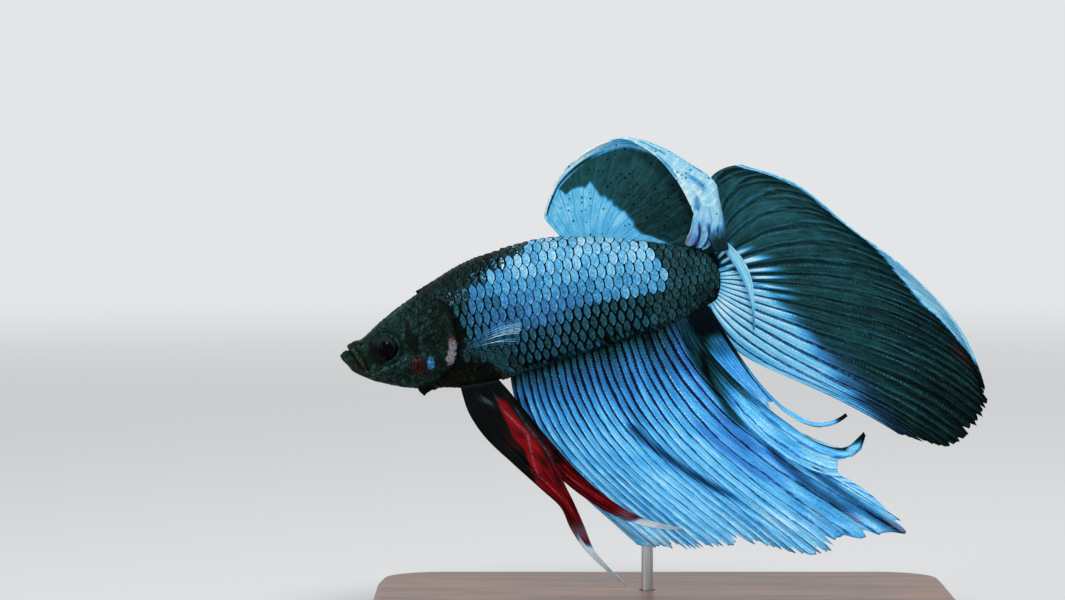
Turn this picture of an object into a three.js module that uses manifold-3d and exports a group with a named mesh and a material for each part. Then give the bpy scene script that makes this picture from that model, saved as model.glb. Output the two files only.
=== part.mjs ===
// A long-finned male betta (Siamese fighting fish), life size, held swimming on
// a small display stand. Millimetres, +Z up. The fish faces -X and its left
// side faces -Y. The origin is on the ground under the middle of the model.
import * as THREE from 'three';
import { mergeVertices } from 'three/addons/utils/BufferGeometryUtils.js';
import Module from 'manifold-3d';

const wasm = await Module();
wasm.setup();

// ---------------------------------------------------------------- dimensions
const BODY_LENGTH = 41.7;            // snout to the root of the tail fin
const PITCH = THREE.MathUtils.degToRad(11.9); // the head hangs this far below level
const TAIL_ROOT = new THREE.Vector3(5.46, 0, 39.75); // middle of the tail fin's root
const FIN_THICK = 0.5;               // every fin sheet
const CUT = 0.25;                    // thin cut between pieces that touch
const SINK = 1.0;                    // how far a fin's rays reach into the flesh

const EYE = { s: 4.81, h: -0.25, y: 1.98, radius: 1.42, depth: 1.05 };
const GILL = { s: 10.3, h: -0.85, half_s: 2.55, half_h: 3.9, proud: 0.22, deep: 0.6 };
const BEARD = { s: 8.0, h: -5.2, length: 1.7, drop: 1.0, width: 0.9 };
const NECK_S = 13.1;                 // head and trunk part here
const STALK_S = 36.0;                // trunk and tail stalk part here

const BASE = { length: 64, width: 38, height: 5, corner: 7, bevel: 0.7 };
const ROD = { x: -1.8, y: 1.5, radius: 0.65, socket: 2.2, sink: 2.5, clearance: 0.3 };

// The body along its own axis: distance from the snout, height of the back and
// of the belly over the axis, and half the greatest width.
const BODY = [
  [-0.36, 0.03, -0.06, 0.0], [-0.2, 0.1, -0.55, 0.38], [0.1, 0.26, -1.02, 0.62],
  [0.55, 0.52, -1.62, 0.95], [0.95, 0.95, -2.04, 1.15], [1.5, 1.22, -2.48, 1.42],
  [2.3, 1.42, -3.04, 1.78], [3.4, 2.04, -3.78, 2.2], [4.8, 2.9, -4.58, 2.58],
  [7.1, 4.08, -5.36, 3.2], [9.7, 5.22, -5.84, 3.62], [12.2, 6.26, -6.32, 3.86],
  [14.6, 7.08, -6.4, 3.97], [17.4, 7.66, -6.2, 4.0], [20.4, 7.94, -5.86, 3.92],
  [24.0, 8.02, -5.44, 3.6], [27.5, 7.54, -5.1, 3.12], [31.0, 6.76, -4.8, 2.56],
  [34.6, 5.62, -4.34, 1.95], [37.7, 4.52, -3.62, 1.42], [40.3, 3.6, -2.95, 1.06],
  [42.4, 2.95, -2.6, 0.7],
];

// Every fin is a fan of rays. A row is one ray: its place across the fin, its
// root x and z and tip x and z from the tail root, the angle it leaves and the
// angle it arrives at, how long it keeps each as a share of its length, its
// sideways place at the root, midway and at the tip, and the radius, angle and
// flat width of the margin where it rolls over towards the fish's left.
const CAUDAL = { across: 20, along: 10, roll: 3, edge: 1, rays: [
  [0.0, -0.7, 3.2, 3.0, 12.2, 97, 3, 0.55, 0.4, 0.15, 2.4, 1.8, 0.5, 0, 0],
  [0.12, -0.4, 2.6, 8.6, 10.0, 82, -18, 0.55, 0.45, 0.1, 2.0, 1.4, 0.5, 60, 0],
  [0.25, -0.1, 2.0, 14.8, 5.5, 60, -32, 0.5, 0.45, 0, 1.4, 1.0, 0.5, 110, 0.2],
  [0.37, 0.1, 1.2, 20.5, 0.7, 38, -36, 0.42, 0.42, 0, 1.0, 0.6, 0.5, 165, 0.4],
  [0.5, 0.2, 0.4, 25.7, -4.7, 14, -42, 0.38, 0.38, 0, 0.9, 0.7, 0.5, 175, 0.6],
  [0.62, 0.2, -0.4, 28.8, -9.7, -8, -48, 0.34, 0.35, 0, 0.6, 0.4, 0.5, 150, 0.4],
  [0.75, 0.1, -1.3, 29.4, -14.3, -30, -44, 0.3, 0.33, 0, 0.2, -0.4, 0.5, 40, 0],
  [0.87, -0.2, -2.2, 25.6, -18.0, -46, -38, 0.3, 0.33, 0, -0.2, -0.9, 0.5, 10, 0],
  [1.0, -0.7, -3.1, 20.1, -17.1, -62, -36, 0.33, 0.33, 0, -0.5, -1.2, 0.5, 0, 0],
] };
const ANAL = { across: 26, along: 10, roll: 0, edge: 0, rays: [
  [0.0, -22.4, -10.9, -8.4, -29.5, -84, -43, 0.36, 0.36, 0.15, 1.0, -0.3, 0, 0, 0],
  [0.12, -19.9, -10.1, -4.2, -30.1, -84, -42, 0.36, 0.36, 0, 0.5, -0.6, 0, 0, 0],
  [0.28, -16.6, -9.1, 0.1, -29.7, -82, -40, 0.36, 0.36, 0, -0.3, -1.0, 0, 0, 0],
  [0.44, -13.2, -8.0, 5.1, -29.5, -80, -40, 0.36, 0.36, 0, -0.5, -1.4, 0, 0, 0],
  [0.58, -10.1, -7.0, 10.8, -30.5, -78, -40, 0.36, 0.36, 0, -0.6, -1.8, 0, 0, 0],
  [0.7, -7.6, -6.3, 15.2, -29.7, -74, -38, 0.36, 0.36, 0, -0.6, -2.2, 0, 0, 0],
  [0.8, -5.5, -5.4, 21.0, -28.1, -68, -32, 0.34, 0.34, 0, -0.6, -2.4, 0, 0, 0],
  [0.87, -4.3, -4.8, 18.5, -24.5, -68, -26, 0.32, 0.36, 0, -0.6, -2.0, 0, 0, 0],
  [0.92, -3.2, -4.3, 16.4, -17.1, -58, 40, 0.32, 0.3, 0, -0.8, -2.6, 0, 0, 0],
  [0.96, -2.2, -3.8, 15.3, -15.7, -52, 44, 0.3, 0.3, 0, -1.0, -2.8, 0, 0, 0],
  [1.0, -1.2, -3.3, 14.3, -14.7, -46, 46, 0.28, 0.3, 0, -1.2, -3.2, 0, 0, 0],
], margin: [[0, 1], [0.8, 1], [0.87, 1], [0.9, 0.88], [0.92, 1], [0.96, 0.92], [1, 1]] };
const DORSAL = { across: 18, along: 6, roll: 5, edge: 2, rays: [
  [0.0, -16.9, 4.4, -18.6, 6.4, 125, 120, 0.33, 0.33, 0, 0, 0, 0.7, 0, 0],
  [0.1, -15.9, 4.4, -18.1, 8.2, 118, 112, 0.33, 0.33, 0, 0.5, 0.2, 0.7, 10, 0],
  [0.22, -15.0, 4.4, -16.9, 10.8, 112, 105, 0.33, 0.33, 0, 1.2, 0.6, 0.7, 30, 0],
  [0.36, -14.0, 4.4, -14.2, 13.3, 102, 92, 0.33, 0.33, 0, 1.6, 0.8, 0.7, 60, 0],
  [0.5, -13.0, 4.4, -10.1, 15.0, 90, 76, 0.33, 0.33, 0, 1.8, 0.9, 0.7, 120, 0.2],
  [0.63, -12.1, 4.4, -5.8, 14.3, 74, 60, 0.33, 0.33, 0, 1.8, 0.9, 0.8, 170, 1.2],
  [0.75, -11.0, 4.35, -2.5, 12.4, 52, 50, 0.33, 0.33, 0, 1.4, 0.7, 0.8, 180, 2.4],
  [0.86, -9.2, 4.3, -0.4, 10.2, 36, 42, 0.33, 0.33, 0, 0.8, 0.3, 0.8, 180, 2.8],
  [0.94, -6.5, 4.1, 0.0, 7.8, 30, 36, 0.33, 0.33, 0, 0.2, -0.1, 0.8, 180, 2.4],
  [1.0, -2.6, 3.7, -0.5, 5.3, 44, 25, 0.33, 0.33, 0, -0.4, -0.5, 0.8, 180, 1.0],
] };
const STREAMER = { across: 2, along: 10, roll: 0, edge: 0, rays: [
  [0.0, 0.2, 4.0, 4.25, -5.7, -52, -90, 0.4, 0.4, -0.6, -1.1, -0.9, 0, 0, 0],
  [0.5, 0.45, 4.2, 4.35, -5.8, -44, -90, 0.42, 0.42, -0.6, -1.1, -0.9, 0, 0, 0],
  [1.0, 0.7, 4.4, 4.45, -5.7, -36, -90, 0.44, 0.44, -0.6, -1.1, -0.9, 0, 0, 0],
] };
const PELVIC_LEFT = { across: 4, along: 14, roll: 0, edge: 0, rays: [
  [0.0, -27.7, -12.2, -10.4, -33.35, -73, -50, 0.22, 0.26, -1.1, -2.4, -4.4, 0, 0, 0],
  [0.5, -25.7, -12.1, -10.15, -33.6, -60, -48, 0.28, 0.28, -1.1, -2.8, -4.4, 0, 0, 0],
  [1.0, -23.6, -11.8, -9.9, -33.3, -48, -52, 0.34, 0.33, -1.1, -2.4, -4.4, 0, 0, 0],
] };
const PELVIC_RIGHT = { across: 4, along: 14, roll: 0, edge: 0, rays: [
  [0.0, -26.4, -12.4, -3.7, -27.75, -45, 3, 0.32, 0.36, -0.1, -1.7, -2.6, 0, 0, 0],
  [0.5, -24.9, -12.2, -3.5, -27.55, -46, -2, 0.32, 0.36, -0.1, -1.9, -2.6, 0, 0, 0],
  [1.0, -23.3, -11.7, -3.6, -27.25, -48, -5, 0.33, 0.36, -0.1, -1.7, -2.6, 0, 0, 0],
] };
const PECTORAL = { across: 6, along: 5, roll: 0, edge: 0, rays: [
  [0.0, -26.8, -6.7, -22.2, -4.6, 40, 14, 0.34, 0.34, -3.6, -4.9, -5.6, 0, 0, 0],
  [0.5, -26.8, -7.5, -21.1, -7.7, 6, -14, 0.34, 0.34, -3.6, -5.1, -5.9, 0, 0, 0],
  [1.0, -26.7, -8.3, -22.6, -11.2, -34, -36, 0.34, 0.34, -3.4, -4.6, -5.2, 0, 0, 0],
] };

// ---------------------------------------------------------------- functions
// Reads a table whose first column is the key, with a smooth curve through it.
function smooth(table, x) {
  const last = table.length - 1;
  let i = 0;
  while (i < last - 1 && x >= table[i + 1][0]) i++;
  const slope = (j, c) => {
    const a = table[Math.max(j - 1, 0)], b = table[Math.min(j + 1, last)];
    return (b[c] - a[c]) / (b[0] - a[0]);
  };
  const d = table[i + 1][0] - table[i][0];
  const f = THREE.MathUtils.clamp((x - table[i][0]) / d, 0, 1);
  return table[i].slice(1).map((_, k) => {
    const c = k + 1;
    return (1 + 2 * f) * (1 - f) ** 2 * table[i][c] + f * (1 - f) ** 2 * d * slope(i, c)
      + f * f * (3 - 2 * f) * table[i + 1][c] + f * f * (f - 1) * d * slope(i + 1, c);
  });
}

// Height of the body's widest level over its axis.
const widestLevel = (top, bottom) => (top + bottom) / 2 + 0.07 * (top - bottom);

// A point of the body's skin: s from the snout, turn 0 at the back and pi at the belly.
function skin(s, turn, grow = 0) {
  const [top, bottom, half] = smooth(BODY, s);
  const mid = widestLevel(top, bottom), c = Math.cos(turn), q = Math.sin(turn);
  const keel = c < 0 ? 1 - 0.22 * c * c : 1;
  const y = (half * keel + grow) * Math.sign(q) * Math.abs(q) ** 0.92;
  const h = mid + (c > 0 ? top - mid + grow : mid - bottom + grow) * c;
  return new THREE.Vector3(s - BODY_LENGTH, y, h);
}

// Half the body's width at s and h.
function halfWidth(s, h) {
  const [top, bottom, half] = smooth(BODY, s);
  const mid = widestLevel(top, bottom);
  const c = THREE.MathUtils.clamp(h > mid ? (h - mid) / (top - mid) : (h - mid) / (mid - bottom), -0.99, 0.99);
  return half * (c < 0 ? 1 - 0.22 * c * c : 1) * Math.sqrt(1 - c * c) ** 0.92;
}

// A closed body from rows of points: each row is a ring, and both ends close on their middle.
function tube(rings) {
  const n = rings[0].length, points = rings.flat(), index = [];
  for (let i = 0; i + 1 < rings.length; i++)
    for (let j = 0; j < n; j++) {
      const a = i * n + j, b = i * n + (j + 1) % n;
      index.push(a, b, b + n, a, b + n, a + n);
    }
  const cap = (ring, start, flip) => {
    const middle = ring.reduce((sum, p) => sum.add(p), new THREE.Vector3()).divideScalar(n);
    points.push(middle);
    for (let j = 0; j < n; j++) {
      const a = start + j, b = start + (j + 1) % n;
      index.push(...(flip ? [points.length - 1, b, a] : [points.length - 1, a, b]));
    }
  };
  cap(rings[0], 0, true);
  cap(rings.at(-1), (rings.length - 1) * n, false);
  return closed(points, index);
}

// A closed sheet of a given thickness about a surface given on a grid of points.
function sheet(grid, thick) {
  const rows = grid.length, n = grid[0].length, points = [], index = [];
  const at = (i, j) => grid[THREE.MathUtils.clamp(i, 0, rows - 1)][THREE.MathUtils.clamp(j, 0, n - 1)];
  for (const side of [0.5, -0.5])
    for (let i = 0; i < rows; i++)
      for (let j = 0; j < n; j++) {
        const along = at(i + 1, j).clone().sub(at(i - 1, j));
        const over = at(i, j + 1).clone().sub(at(i, j - 1));
        points.push(at(i, j).clone().addScaledVector(along.cross(over).normalize(), side * thick));
      }
  const layer = rows * n;
  for (let i = 0; i + 1 < rows; i++)
    for (let j = 0; j + 1 < n; j++) {
      const a = i * n + j, b = a + 1, c = a + n + 1, d = a + n;
      index.push(a, d, c, a, c, b, a + layer, c + layer, d + layer, a + layer, b + layer, c + layer);
    }
  const wall = (a, b) => index.push(a, b, b + layer, a, b + layer, a + layer);
  for (let j = 0; j + 1 < n; j++) { wall(j, j + 1); wall((rows - 1) * n + j + 1, (rows - 1) * n + j); }
  for (let i = 0; i + 1 < rows; i++) { wall((i + 1) * n, i * n); wall(i * n + n - 1, (i + 1) * n + n - 1); }
  return closed(points, index);
}

function closed(points, index) {
  const geometry = new THREE.BufferGeometry();
  geometry.setAttribute('position', new THREE.Float32BufferAttribute(points.flatMap((p) => [p.x, p.y, p.z]), 3));
  geometry.setIndex(index);
  return solid(geometry);
}

// A three.js geometry as a solid that can be cut and joined, turned outwards if it faces in.
function solid(source, matrix = new THREE.Matrix4()) {
  const bare = new THREE.BufferGeometry().setAttribute('position', source.getAttribute('position').clone());
  if (source.index) bare.setIndex(source.index.clone());
  const merged = mergeVertices(bare.applyMatrix4(matrix), 1e-4);
  const whole = new Uint32Array(merged.index.array);
  const make = () => new wasm.Manifold(new wasm.Mesh({
    numProp: 3, vertProperties: merged.attributes.position.array, triVerts: whole,
  }));
  const made = make();
  if (made.volume() > 0) return made;
  for (let i = 0; i < whole.length; i += 3) [whole[i + 1], whole[i + 2]] = [whole[i + 2], whole[i + 1]];
  return make();
}

// One point of a fin: across the fan, and how far along its ray. From 0 to 1 is
// the open ray, from 1 to 2 the rolled margin, and from 2 to 3 its flat edge.
function finPoint(fin, across, along) {
  const [rx, rz, tx, tz, leave, arrive, keep, hold, yr, ym, yt, radius, roll, flat] = smooth(fin.rays, across);
  const reach = fin.margin ? smooth(fin.margin, across)[0] : 1;
  const rad = THREE.MathUtils.degToRad, chord = Math.hypot(tx - rx, tz - rz);
  const t = along <= 0 ? -SINK / (3 * keep * chord) : Math.min(along, 1) * reach;
  const p = [
    [rx, yr, rz],
    [rx + keep * chord * Math.cos(rad(leave)), 0.4 * yr + 0.6 * ym, rz + keep * chord * Math.sin(rad(leave))],
    [tx - hold * chord * Math.cos(rad(arrive)), yt, tz - hold * chord * Math.sin(rad(arrive))],
    [tx, yt, tz],
  ].map((v) => new THREE.Vector3(...v));
  const w = [(1 - t) ** 3, 3 * t * (1 - t) ** 2, 3 * t * t * (1 - t), t ** 3];
  const point = new THREE.Vector3();
  p.forEach((v, i) => point.addScaledVector(v, w[i]));
  const bent = THREE.MathUtils.clamp(along - 1, 0, 1) * rad(Math.max(roll, 8));
  const past = THREE.MathUtils.clamp(along - 2, 0, 1) * Math.max(flat, 0.12);
  const ahead = radius * Math.sin(bent) + past * Math.cos(bent);
  point.x += ahead * Math.cos(rad(arrive));
  point.z += ahead * Math.sin(rad(arrive));
  point.y -= radius * (1 - Math.cos(bent)) + past * Math.sin(bent);
  return point;
}

// The solid fin: a sheet through its rays, with extra rows where the margin rolls.
function fin(spec, mirror = 1) {
  const rows = Array.from({ length: spec.along + 1 }, (_, i) => i / spec.along);
  for (let i = 1; i <= spec.roll; i++) rows.push(1 + i / spec.roll);
  for (let i = 1; i <= spec.edge; i++) rows.push(2 + i / spec.edge);
  const grid = rows.map((v) => Array.from({ length: spec.across + 1 }, (_, j) => {
    const p = finPoint(spec, spec.margin ? crowd(j / spec.across) : j / spec.across, v);
    p.y *= mirror;
    return p;
  }));
  return sheet(grid, FIN_THICK);
}

// Spacing that gathers rays towards a fan's last fifth, where its threads part.
const crowd = (f) => (f < 0.55 ? (f / 0.55) * 0.8 : 0.8 + ((f - 0.55) / 0.45) * 0.2);

// A cut piece of the body's side view, as wide as the body.
function slab(outline) {
  const shape = new THREE.Shape(outline.map(([s, h]) => new THREE.Vector2(s - BODY_LENGTH, h)));
  const geometry = new THREE.ExtrudeGeometry(shape, { depth: 14, bevelEnabled: false });
  return solid(geometry, new THREE.Matrix4().makeRotationX(Math.PI / 2).setPosition(0, 7, 0));
}

// A gill cover: an oval plate that follows the side of the head.
function gillPlate(side, grow, proud, deep) {
  const rings = 3, n = 20, outer = [], inner = [];
  const spot = (ring, j, lift) => {
    const a = (j / n) * 2 * Math.PI, r = ring / rings;
    const s = GILL.s + (GILL.half_s + grow) * r * Math.cos(a), h = GILL.h + (GILL.half_h + grow) * r * Math.sin(a);
    return new THREE.Vector3(s - BODY_LENGTH, side * (halfWidth(s, h) + lift), h);
  };
  for (let k = 1; k <= rings; k++) {
    const row = (lift) => Array.from({ length: n }, (_, j) => spot(k, j, lift));
    outer.push(row(proud));
    inner.push(row(-deep));
  }
  return tube([...outer, ...inner.reverse()]);
}

// ---------------------------------------------------------------- the body
const TURNS = 24;
const stations = [...BODY.keys()].flatMap((i) => {
  if (i === 0) return [];
  const [a, b] = [BODY[i - 1][0], BODY[i][0]];
  const parts = b - a > 2 ? 2 : 1;
  return Array.from({ length: parts }, (_, k) => a + ((b - a) * (k + 1)) / parts);
});
const bodyRings = (grow) => stations.map((s) =>
  Array.from({ length: TURNS }, (_, j) => skin(s, (j / TURNS) * 2 * Math.PI, grow)));
const body = tube(bodyRings(0));
const bodyRoom = tube(bodyRings(CUT));

// The mouth slit runs down and back from under the upper lip.
const jawCut = (gap) => slab([
  [-2, 0.5 + gap], [0.4 + gap, 0.48 + gap], [1.05 + gap, -0.1 + gap], [1.6 + gap, -1.15 + gap],
  [2.15 + gap, -2.05], [2.9 + gap, -3.0], [2.6 + gap, -9], [-2, -9],
]);
// All that lies in front of a neck line, and all that lies behind an upright one.
const ahead = (s) => slab([[-5, 14], [s - 0.3, 14], [s - 0.1, 3], [s, 0], [s - 0.9, -4.5], [s - 2.2, -14], [-5, -14]]);
const rear = (s) => slab([[s, 14], [s, -14], [60, -14], [60, 14]]);

const eyeBall = (side, grow) => {
  const ball = new THREE.SphereGeometry(1, 16, 9).rotateX(Math.PI / 2);
  const m = new THREE.Matrix4().makeScale(EYE.radius + grow, EYE.depth + grow, EYE.radius + grow)
    .setPosition(EYE.s - BODY_LENGTH, side * EYE.y, EYE.h);
  return solid(ball, m);
};

const jaw = body.intersect(jawCut(0));
let head = body.intersect(ahead(NECK_S)).subtract(jawCut(CUT));
for (const side of [-1, 1]) {
  head = head.subtract(eyeBall(side, 0.18)).subtract(gillPlate(side, 0.2, 1.2, GILL.deep + 0.2));
}
const behindNeck = body.subtract(ahead(NECK_S + CUT));
const stalk = behindNeck.intersect(rear(STALK_S + CUT));
const toPart = new THREE.Matrix4().makeRotationY(-PITCH).setPosition(TAIL_ROOT);

// The rod's socket, an upright hole in the underside, in the body's own frame.
const rodBottom = BASE.height - ROD.socket;
const seat = new THREE.Vector3(ROD.x, ROD.y, 0);
function upright(radius, from, to, segments = 16) {
  const g = new THREE.CylinderGeometry(radius, radius, to - from, segments).rotateX(Math.PI / 2);
  return solid(g, new THREE.Matrix4().setPosition(seat.x, seat.y, (from + to) / 2));
}
const seatS = (ROD.x - TAIL_ROOT.x) * Math.cos(PITCH) + BODY_LENGTH;
const bellyZ = TAIL_ROOT.z + (ROD.x - TAIL_ROOT.x) * Math.tan(PITCH) + smooth(BODY, seatS)[1];
const rodTop = bellyZ + ROD.sink;
const inverse = toPart.clone().invert();
const flat16 = (m) => [...m.elements];
const socket = upright(ROD.radius + ROD.clearance, 0, rodTop + ROD.clearance).transform(flat16(inverse));
const trunk = behindNeck.subtract(rear(STALK_S)).subtract(socket);

const beardShape = new THREE.Shape([
  [-BEARD.length / 2, 0.8], [-BEARD.length / 2, 0.2], [-BEARD.length * 0.12, -BEARD.drop],
  [BEARD.length * 0.1, -BEARD.drop * 0.9], [BEARD.length / 2, 0.1], [BEARD.length / 2, 0.8],
].map(([x, z]) => new THREE.Vector2(x, z)));
const beard = solid(new THREE.ExtrudeGeometry(beardShape, { depth: BEARD.width, bevelEnabled: false }),
  new THREE.Matrix4().makeRotationX(Math.PI / 2).setPosition(BEARD.s - BODY_LENGTH, BEARD.width / 2, BEARD.h - 0.45))
  .subtract(bodyRoom);

// ---------------------------------------------------------------- the fins
const fishToPart = new THREE.Matrix4().setPosition(TAIL_ROOT);
const room = bodyRoom.transform(flat16(new THREE.Matrix4().makeRotationY(-PITCH)));
// The largest piece is kept, so that what a cut leaves inside the flesh goes.
const largest = (shape) => shape.decompose().sort((a, b) => b.volume() - a.volume())[0];
const rooted = (shape) => largest(shape.subtract(room));

// ---------------------------------------------------------------- the stand
const corner = (w, l, r) => {
  const shape = new THREE.Shape();
  const [x, y] = [l / 2, w / 2];
  shape.moveTo(-x + r, -y).lineTo(x - r, -y).absarc(x - r, -y + r, r, -Math.PI / 2, 0)
    .lineTo(x, y - r).absarc(x - r, y - r, r, 0, Math.PI / 2)
    .lineTo(-x + r, y).absarc(-x + r, y - r, r, Math.PI / 2, Math.PI)
    .lineTo(-x, -y + r).absarc(-x + r, -y + r, r, Math.PI, 1.5 * Math.PI);
  return shape;
};
const board = solid(new THREE.ExtrudeGeometry(
  corner(BASE.width - 2 * BASE.bevel, BASE.length - 2 * BASE.bevel, BASE.corner - BASE.bevel),
  { depth: BASE.height - 2 * BASE.bevel, bevelThickness: BASE.bevel, bevelSize: BASE.bevel, bevelSegments: 1, curveSegments: 5 },
), new THREE.Matrix4().setPosition(0, 0, BASE.bevel));

// ---------------------------------------------------------------- the model
const finish = (color, roughness, metalness = 0) =>
  new THREE.MeshStandardMaterial({ color, roughness, metalness, side: THREE.DoubleSide });
const FINISH = {
  head: finish(0x1f2c2c, 0.5), jaw: finish(0x1b2627, 0.5), gill: finish(0x24393c, 0.45),
  trunk: finish(0x3f8fcf, 0.4, 0.15), stalk: finish(0x1b4248, 0.45, 0.1), eye: finish(0x120c0b, 0.1),
  caudal: finish(0x1d4653, 0.5), anal: finish(0x4b97d4, 0.5), dorsal: finish(0x5d97b8, 0.5),
  pelvic: finish(0x8a1f1d, 0.5), pectoral: finish(0x6f9db6, 0.4), wood: finish(0x6a4329, 0.5),
  steel: finish(0xb8bcc0, 0.3, 1),
};

const group = new THREE.Group();
group.name = 'betta_fish';
function add(name, shape, material, matrix) {
  const { vertProperties, triVerts } = shape.getMesh();
  const geometry = new THREE.BufferGeometry();
  geometry.setAttribute('position', new THREE.BufferAttribute(new Float32Array(vertProperties), 3));
  geometry.setIndex(new THREE.BufferAttribute(new Uint32Array(triVerts), 1));
  geometry.computeVertexNormals();
  const mesh = new THREE.Mesh(geometry, material);
  mesh.name = name;
  if (matrix) mesh.applyMatrix4(matrix);
  group.add(mesh);
}

add('head', head, FINISH.head, toPart);
add('lower_jaw', jaw, FINISH.jaw, toPart);
add('gill_cover_left', gillPlate(-1, 0, GILL.proud, GILL.deep), FINISH.gill, toPart);
add('gill_cover_right', gillPlate(1, 0, GILL.proud, GILL.deep), FINISH.gill, toPart);
add('gill_beard', beard, FINISH.jaw, toPart);
add('eye_left', eyeBall(-1, 0), FINISH.eye, toPart);
add('eye_right', eyeBall(1, 0), FINISH.eye, toPart);
add('trunk', trunk, FINISH.trunk, toPart);
add('tail_stalk', stalk, FINISH.stalk, toPart);
add('dorsal_fin', rooted(fin(DORSAL)), FINISH.dorsal, fishToPart);
add('dorsal_streamer', fin(STREAMER), FINISH.dorsal, fishToPart);
add('caudal_fin', rooted(fin(CAUDAL)), FINISH.caudal, fishToPart);
add('anal_fin', rooted(fin(ANAL)), FINISH.anal, fishToPart);
add('pelvic_fin_left', rooted(fin(PELVIC_LEFT)), FINISH.pelvic, fishToPart);
add('pelvic_fin_right', rooted(fin(PELVIC_RIGHT)), FINISH.pelvic, fishToPart);
add('pectoral_fin_left', rooted(fin(PECTORAL)), FINISH.pectoral, fishToPart);
add('pectoral_fin_right', rooted(fin(PECTORAL, -1)), FINISH.pectoral, fishToPart);
add('stand_base', board.subtract(upright(ROD.radius + ROD.clearance, rodBottom - ROD.clearance, BASE.height + 1)), FINISH.wood);
add('stand_rod', upright(ROD.radius, rodBottom, rodTop), FINISH.steel);

export default group;
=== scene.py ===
"""Looks of a life-size museum model of a long-finned male betta on its stand.

The fish faces -X and its left side faces -Y. Every size below is in
millimetres and becomes metres only when a mesh is made. The body is described
along its own axis by s, the distance from the snout, and h, the height over
the axis. A fin is described by u, the place across its fan of rays, and v, the
place along a ray from 0 at the root to 1 at the margin.
"""

import logging
import math
from dataclasses import dataclass, field
from enum import Enum

import bpy
import numpy as np
from bpy.types import Material, Node, NodeSocket, NodeTree, Object
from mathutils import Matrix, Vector


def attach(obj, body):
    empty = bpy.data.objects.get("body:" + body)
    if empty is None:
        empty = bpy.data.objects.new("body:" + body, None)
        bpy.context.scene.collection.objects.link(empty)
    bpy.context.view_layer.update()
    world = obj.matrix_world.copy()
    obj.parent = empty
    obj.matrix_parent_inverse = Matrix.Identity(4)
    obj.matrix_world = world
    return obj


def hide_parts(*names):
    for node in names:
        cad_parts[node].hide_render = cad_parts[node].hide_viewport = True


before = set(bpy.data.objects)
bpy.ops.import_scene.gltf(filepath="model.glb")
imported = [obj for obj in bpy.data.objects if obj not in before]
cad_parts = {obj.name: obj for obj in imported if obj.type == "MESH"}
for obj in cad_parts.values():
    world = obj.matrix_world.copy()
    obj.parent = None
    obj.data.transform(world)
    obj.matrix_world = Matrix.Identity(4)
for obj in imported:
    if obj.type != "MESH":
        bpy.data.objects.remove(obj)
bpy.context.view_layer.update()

logging.basicConfig(level=logging.INFO, format="%(message)s")
log = logging.getLogger("betta")

MM = 0.001
SEED = 20
Array = np.ndarray
TURN = 2 * math.pi

# ---- the body
BODY_LENGTH = 41.7
PITCH = math.radians(11.9)
TAIL_ROOT = np.array([5.46, 0, 39.75])
# Where the rounded tail end begins, where it closes, and at what height.
END_FROM, END_AT, END_HEIGHT = 40.9, 42.45, 0.2
# How far over the middle the body is widest, how much the belly narrows to a
# keel, how square the sides are, and how deep a fin's root goes into the body.
WIDEST, KEEL, SQUARE, SINK = 0.07, 0.22, 0.92, 1
EYE_S, EYE_H, EYE_Y, EYE_RADIUS, EYE_DEPTH, EYE_LENS = 4.85, -0.12, 1.98, 1.5, 1.06, 0.1

# s, height of the back, height of the belly, half the greatest width
BODY_ROWS = (
    (-0.36, 0.03, -0.06, 0), (-0.2, 0.1, -0.55, 0.38), (0.1, 0.26, -1.02, 0.62),
    (0.55, 0.52, -1.62, 0.95), (0.95, 0.95, -2.04, 1.15), (1.5, 1.22, -2.48, 1.42),
    (2.3, 1.42, -3.04, 1.78), (3.4, 2.04, -3.78, 2.2), (4.8, 2.9, -4.58, 2.58),
    (7.1, 4.08, -5.36, 3.2), (9.7, 5.22, -5.84, 3.62), (12.2, 6.26, -6.32, 3.86),
    (14.6, 7.08, -6.4, 3.97), (17.4, 7.66, -6.2, 4), (20.4, 7.94, -5.86, 3.92),
    (24, 8.02, -5.44, 3.6), (27.5, 7.54, -5.1, 3.12), (31, 6.76, -4.8, 2.56),
    (34.6, 5.62, -4.34, 1.95), (37.7, 4.52, -3.62, 1.42), (40.3, 3.6, -2.95, 1.06),
    (42.4, 2.95, -2.6, 0.7),
)

# One row is one ray of a fan: u, root x and z, tip x and z from the tail root,
# the angle it leaves and arrives at, how long it keeps each, its sideways place
# at the root, midway and at the tip, and, where the margin rolls over, the
# roll's radius, angle and flat width.
CAUDAL_ROWS = (
    (0, -0.7, 3.2, 3, 12.3, 103, 3, 0.62, 0.42, 0.15, 2.4, 1.8, 0.5, 0, 0),
    (0.12, -0.4, 2.6, 8.7, 10.2, 82, -18, 0.55, 0.45, 0.1, 2, 1.4, 0.5, 60, 0),
    (0.25, -0.1, 2, 14.8, 5.5, 60, -32, 0.5, 0.45, 0, 1.4, 1, 0.5, 110, 0.2),
    (0.37, 0.1, 1.2, 20.8, 1, 38, -36, 0.42, 0.42, 0, 1, 0.6, 0.5, 165, 0.4),
    (0.5, 0.2, 0.4, 26, -4.4, 14, -42, 0.38, 0.38, 0, 0.9, 0.7, 0.5, 175, 0.6),
    (0.62, 0.2, -0.4, 28.8, -9.7, -8, -48, 0.34, 0.35, 0, 0.6, 0.4, 0.5, 150, 0.4),
    (0.75, 0.1, -1.3, 29.5, -14.6, -30, -44, 0.3, 0.33, 0, 0.2, -0.4, 0.5, 40, 0),
    (0.87, -0.2, -2.2, 26.1, -18.45, -46, -38, 0.3, 0.33, 0, -0.2, -0.9, 0.5, 10, 0),
    (1, -0.7, -3.1, 20.1, -17.1, -76, -32, 0.3, 0.6, 0, -0.5, -1.2, 0.5, 0, 0),
)
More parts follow.
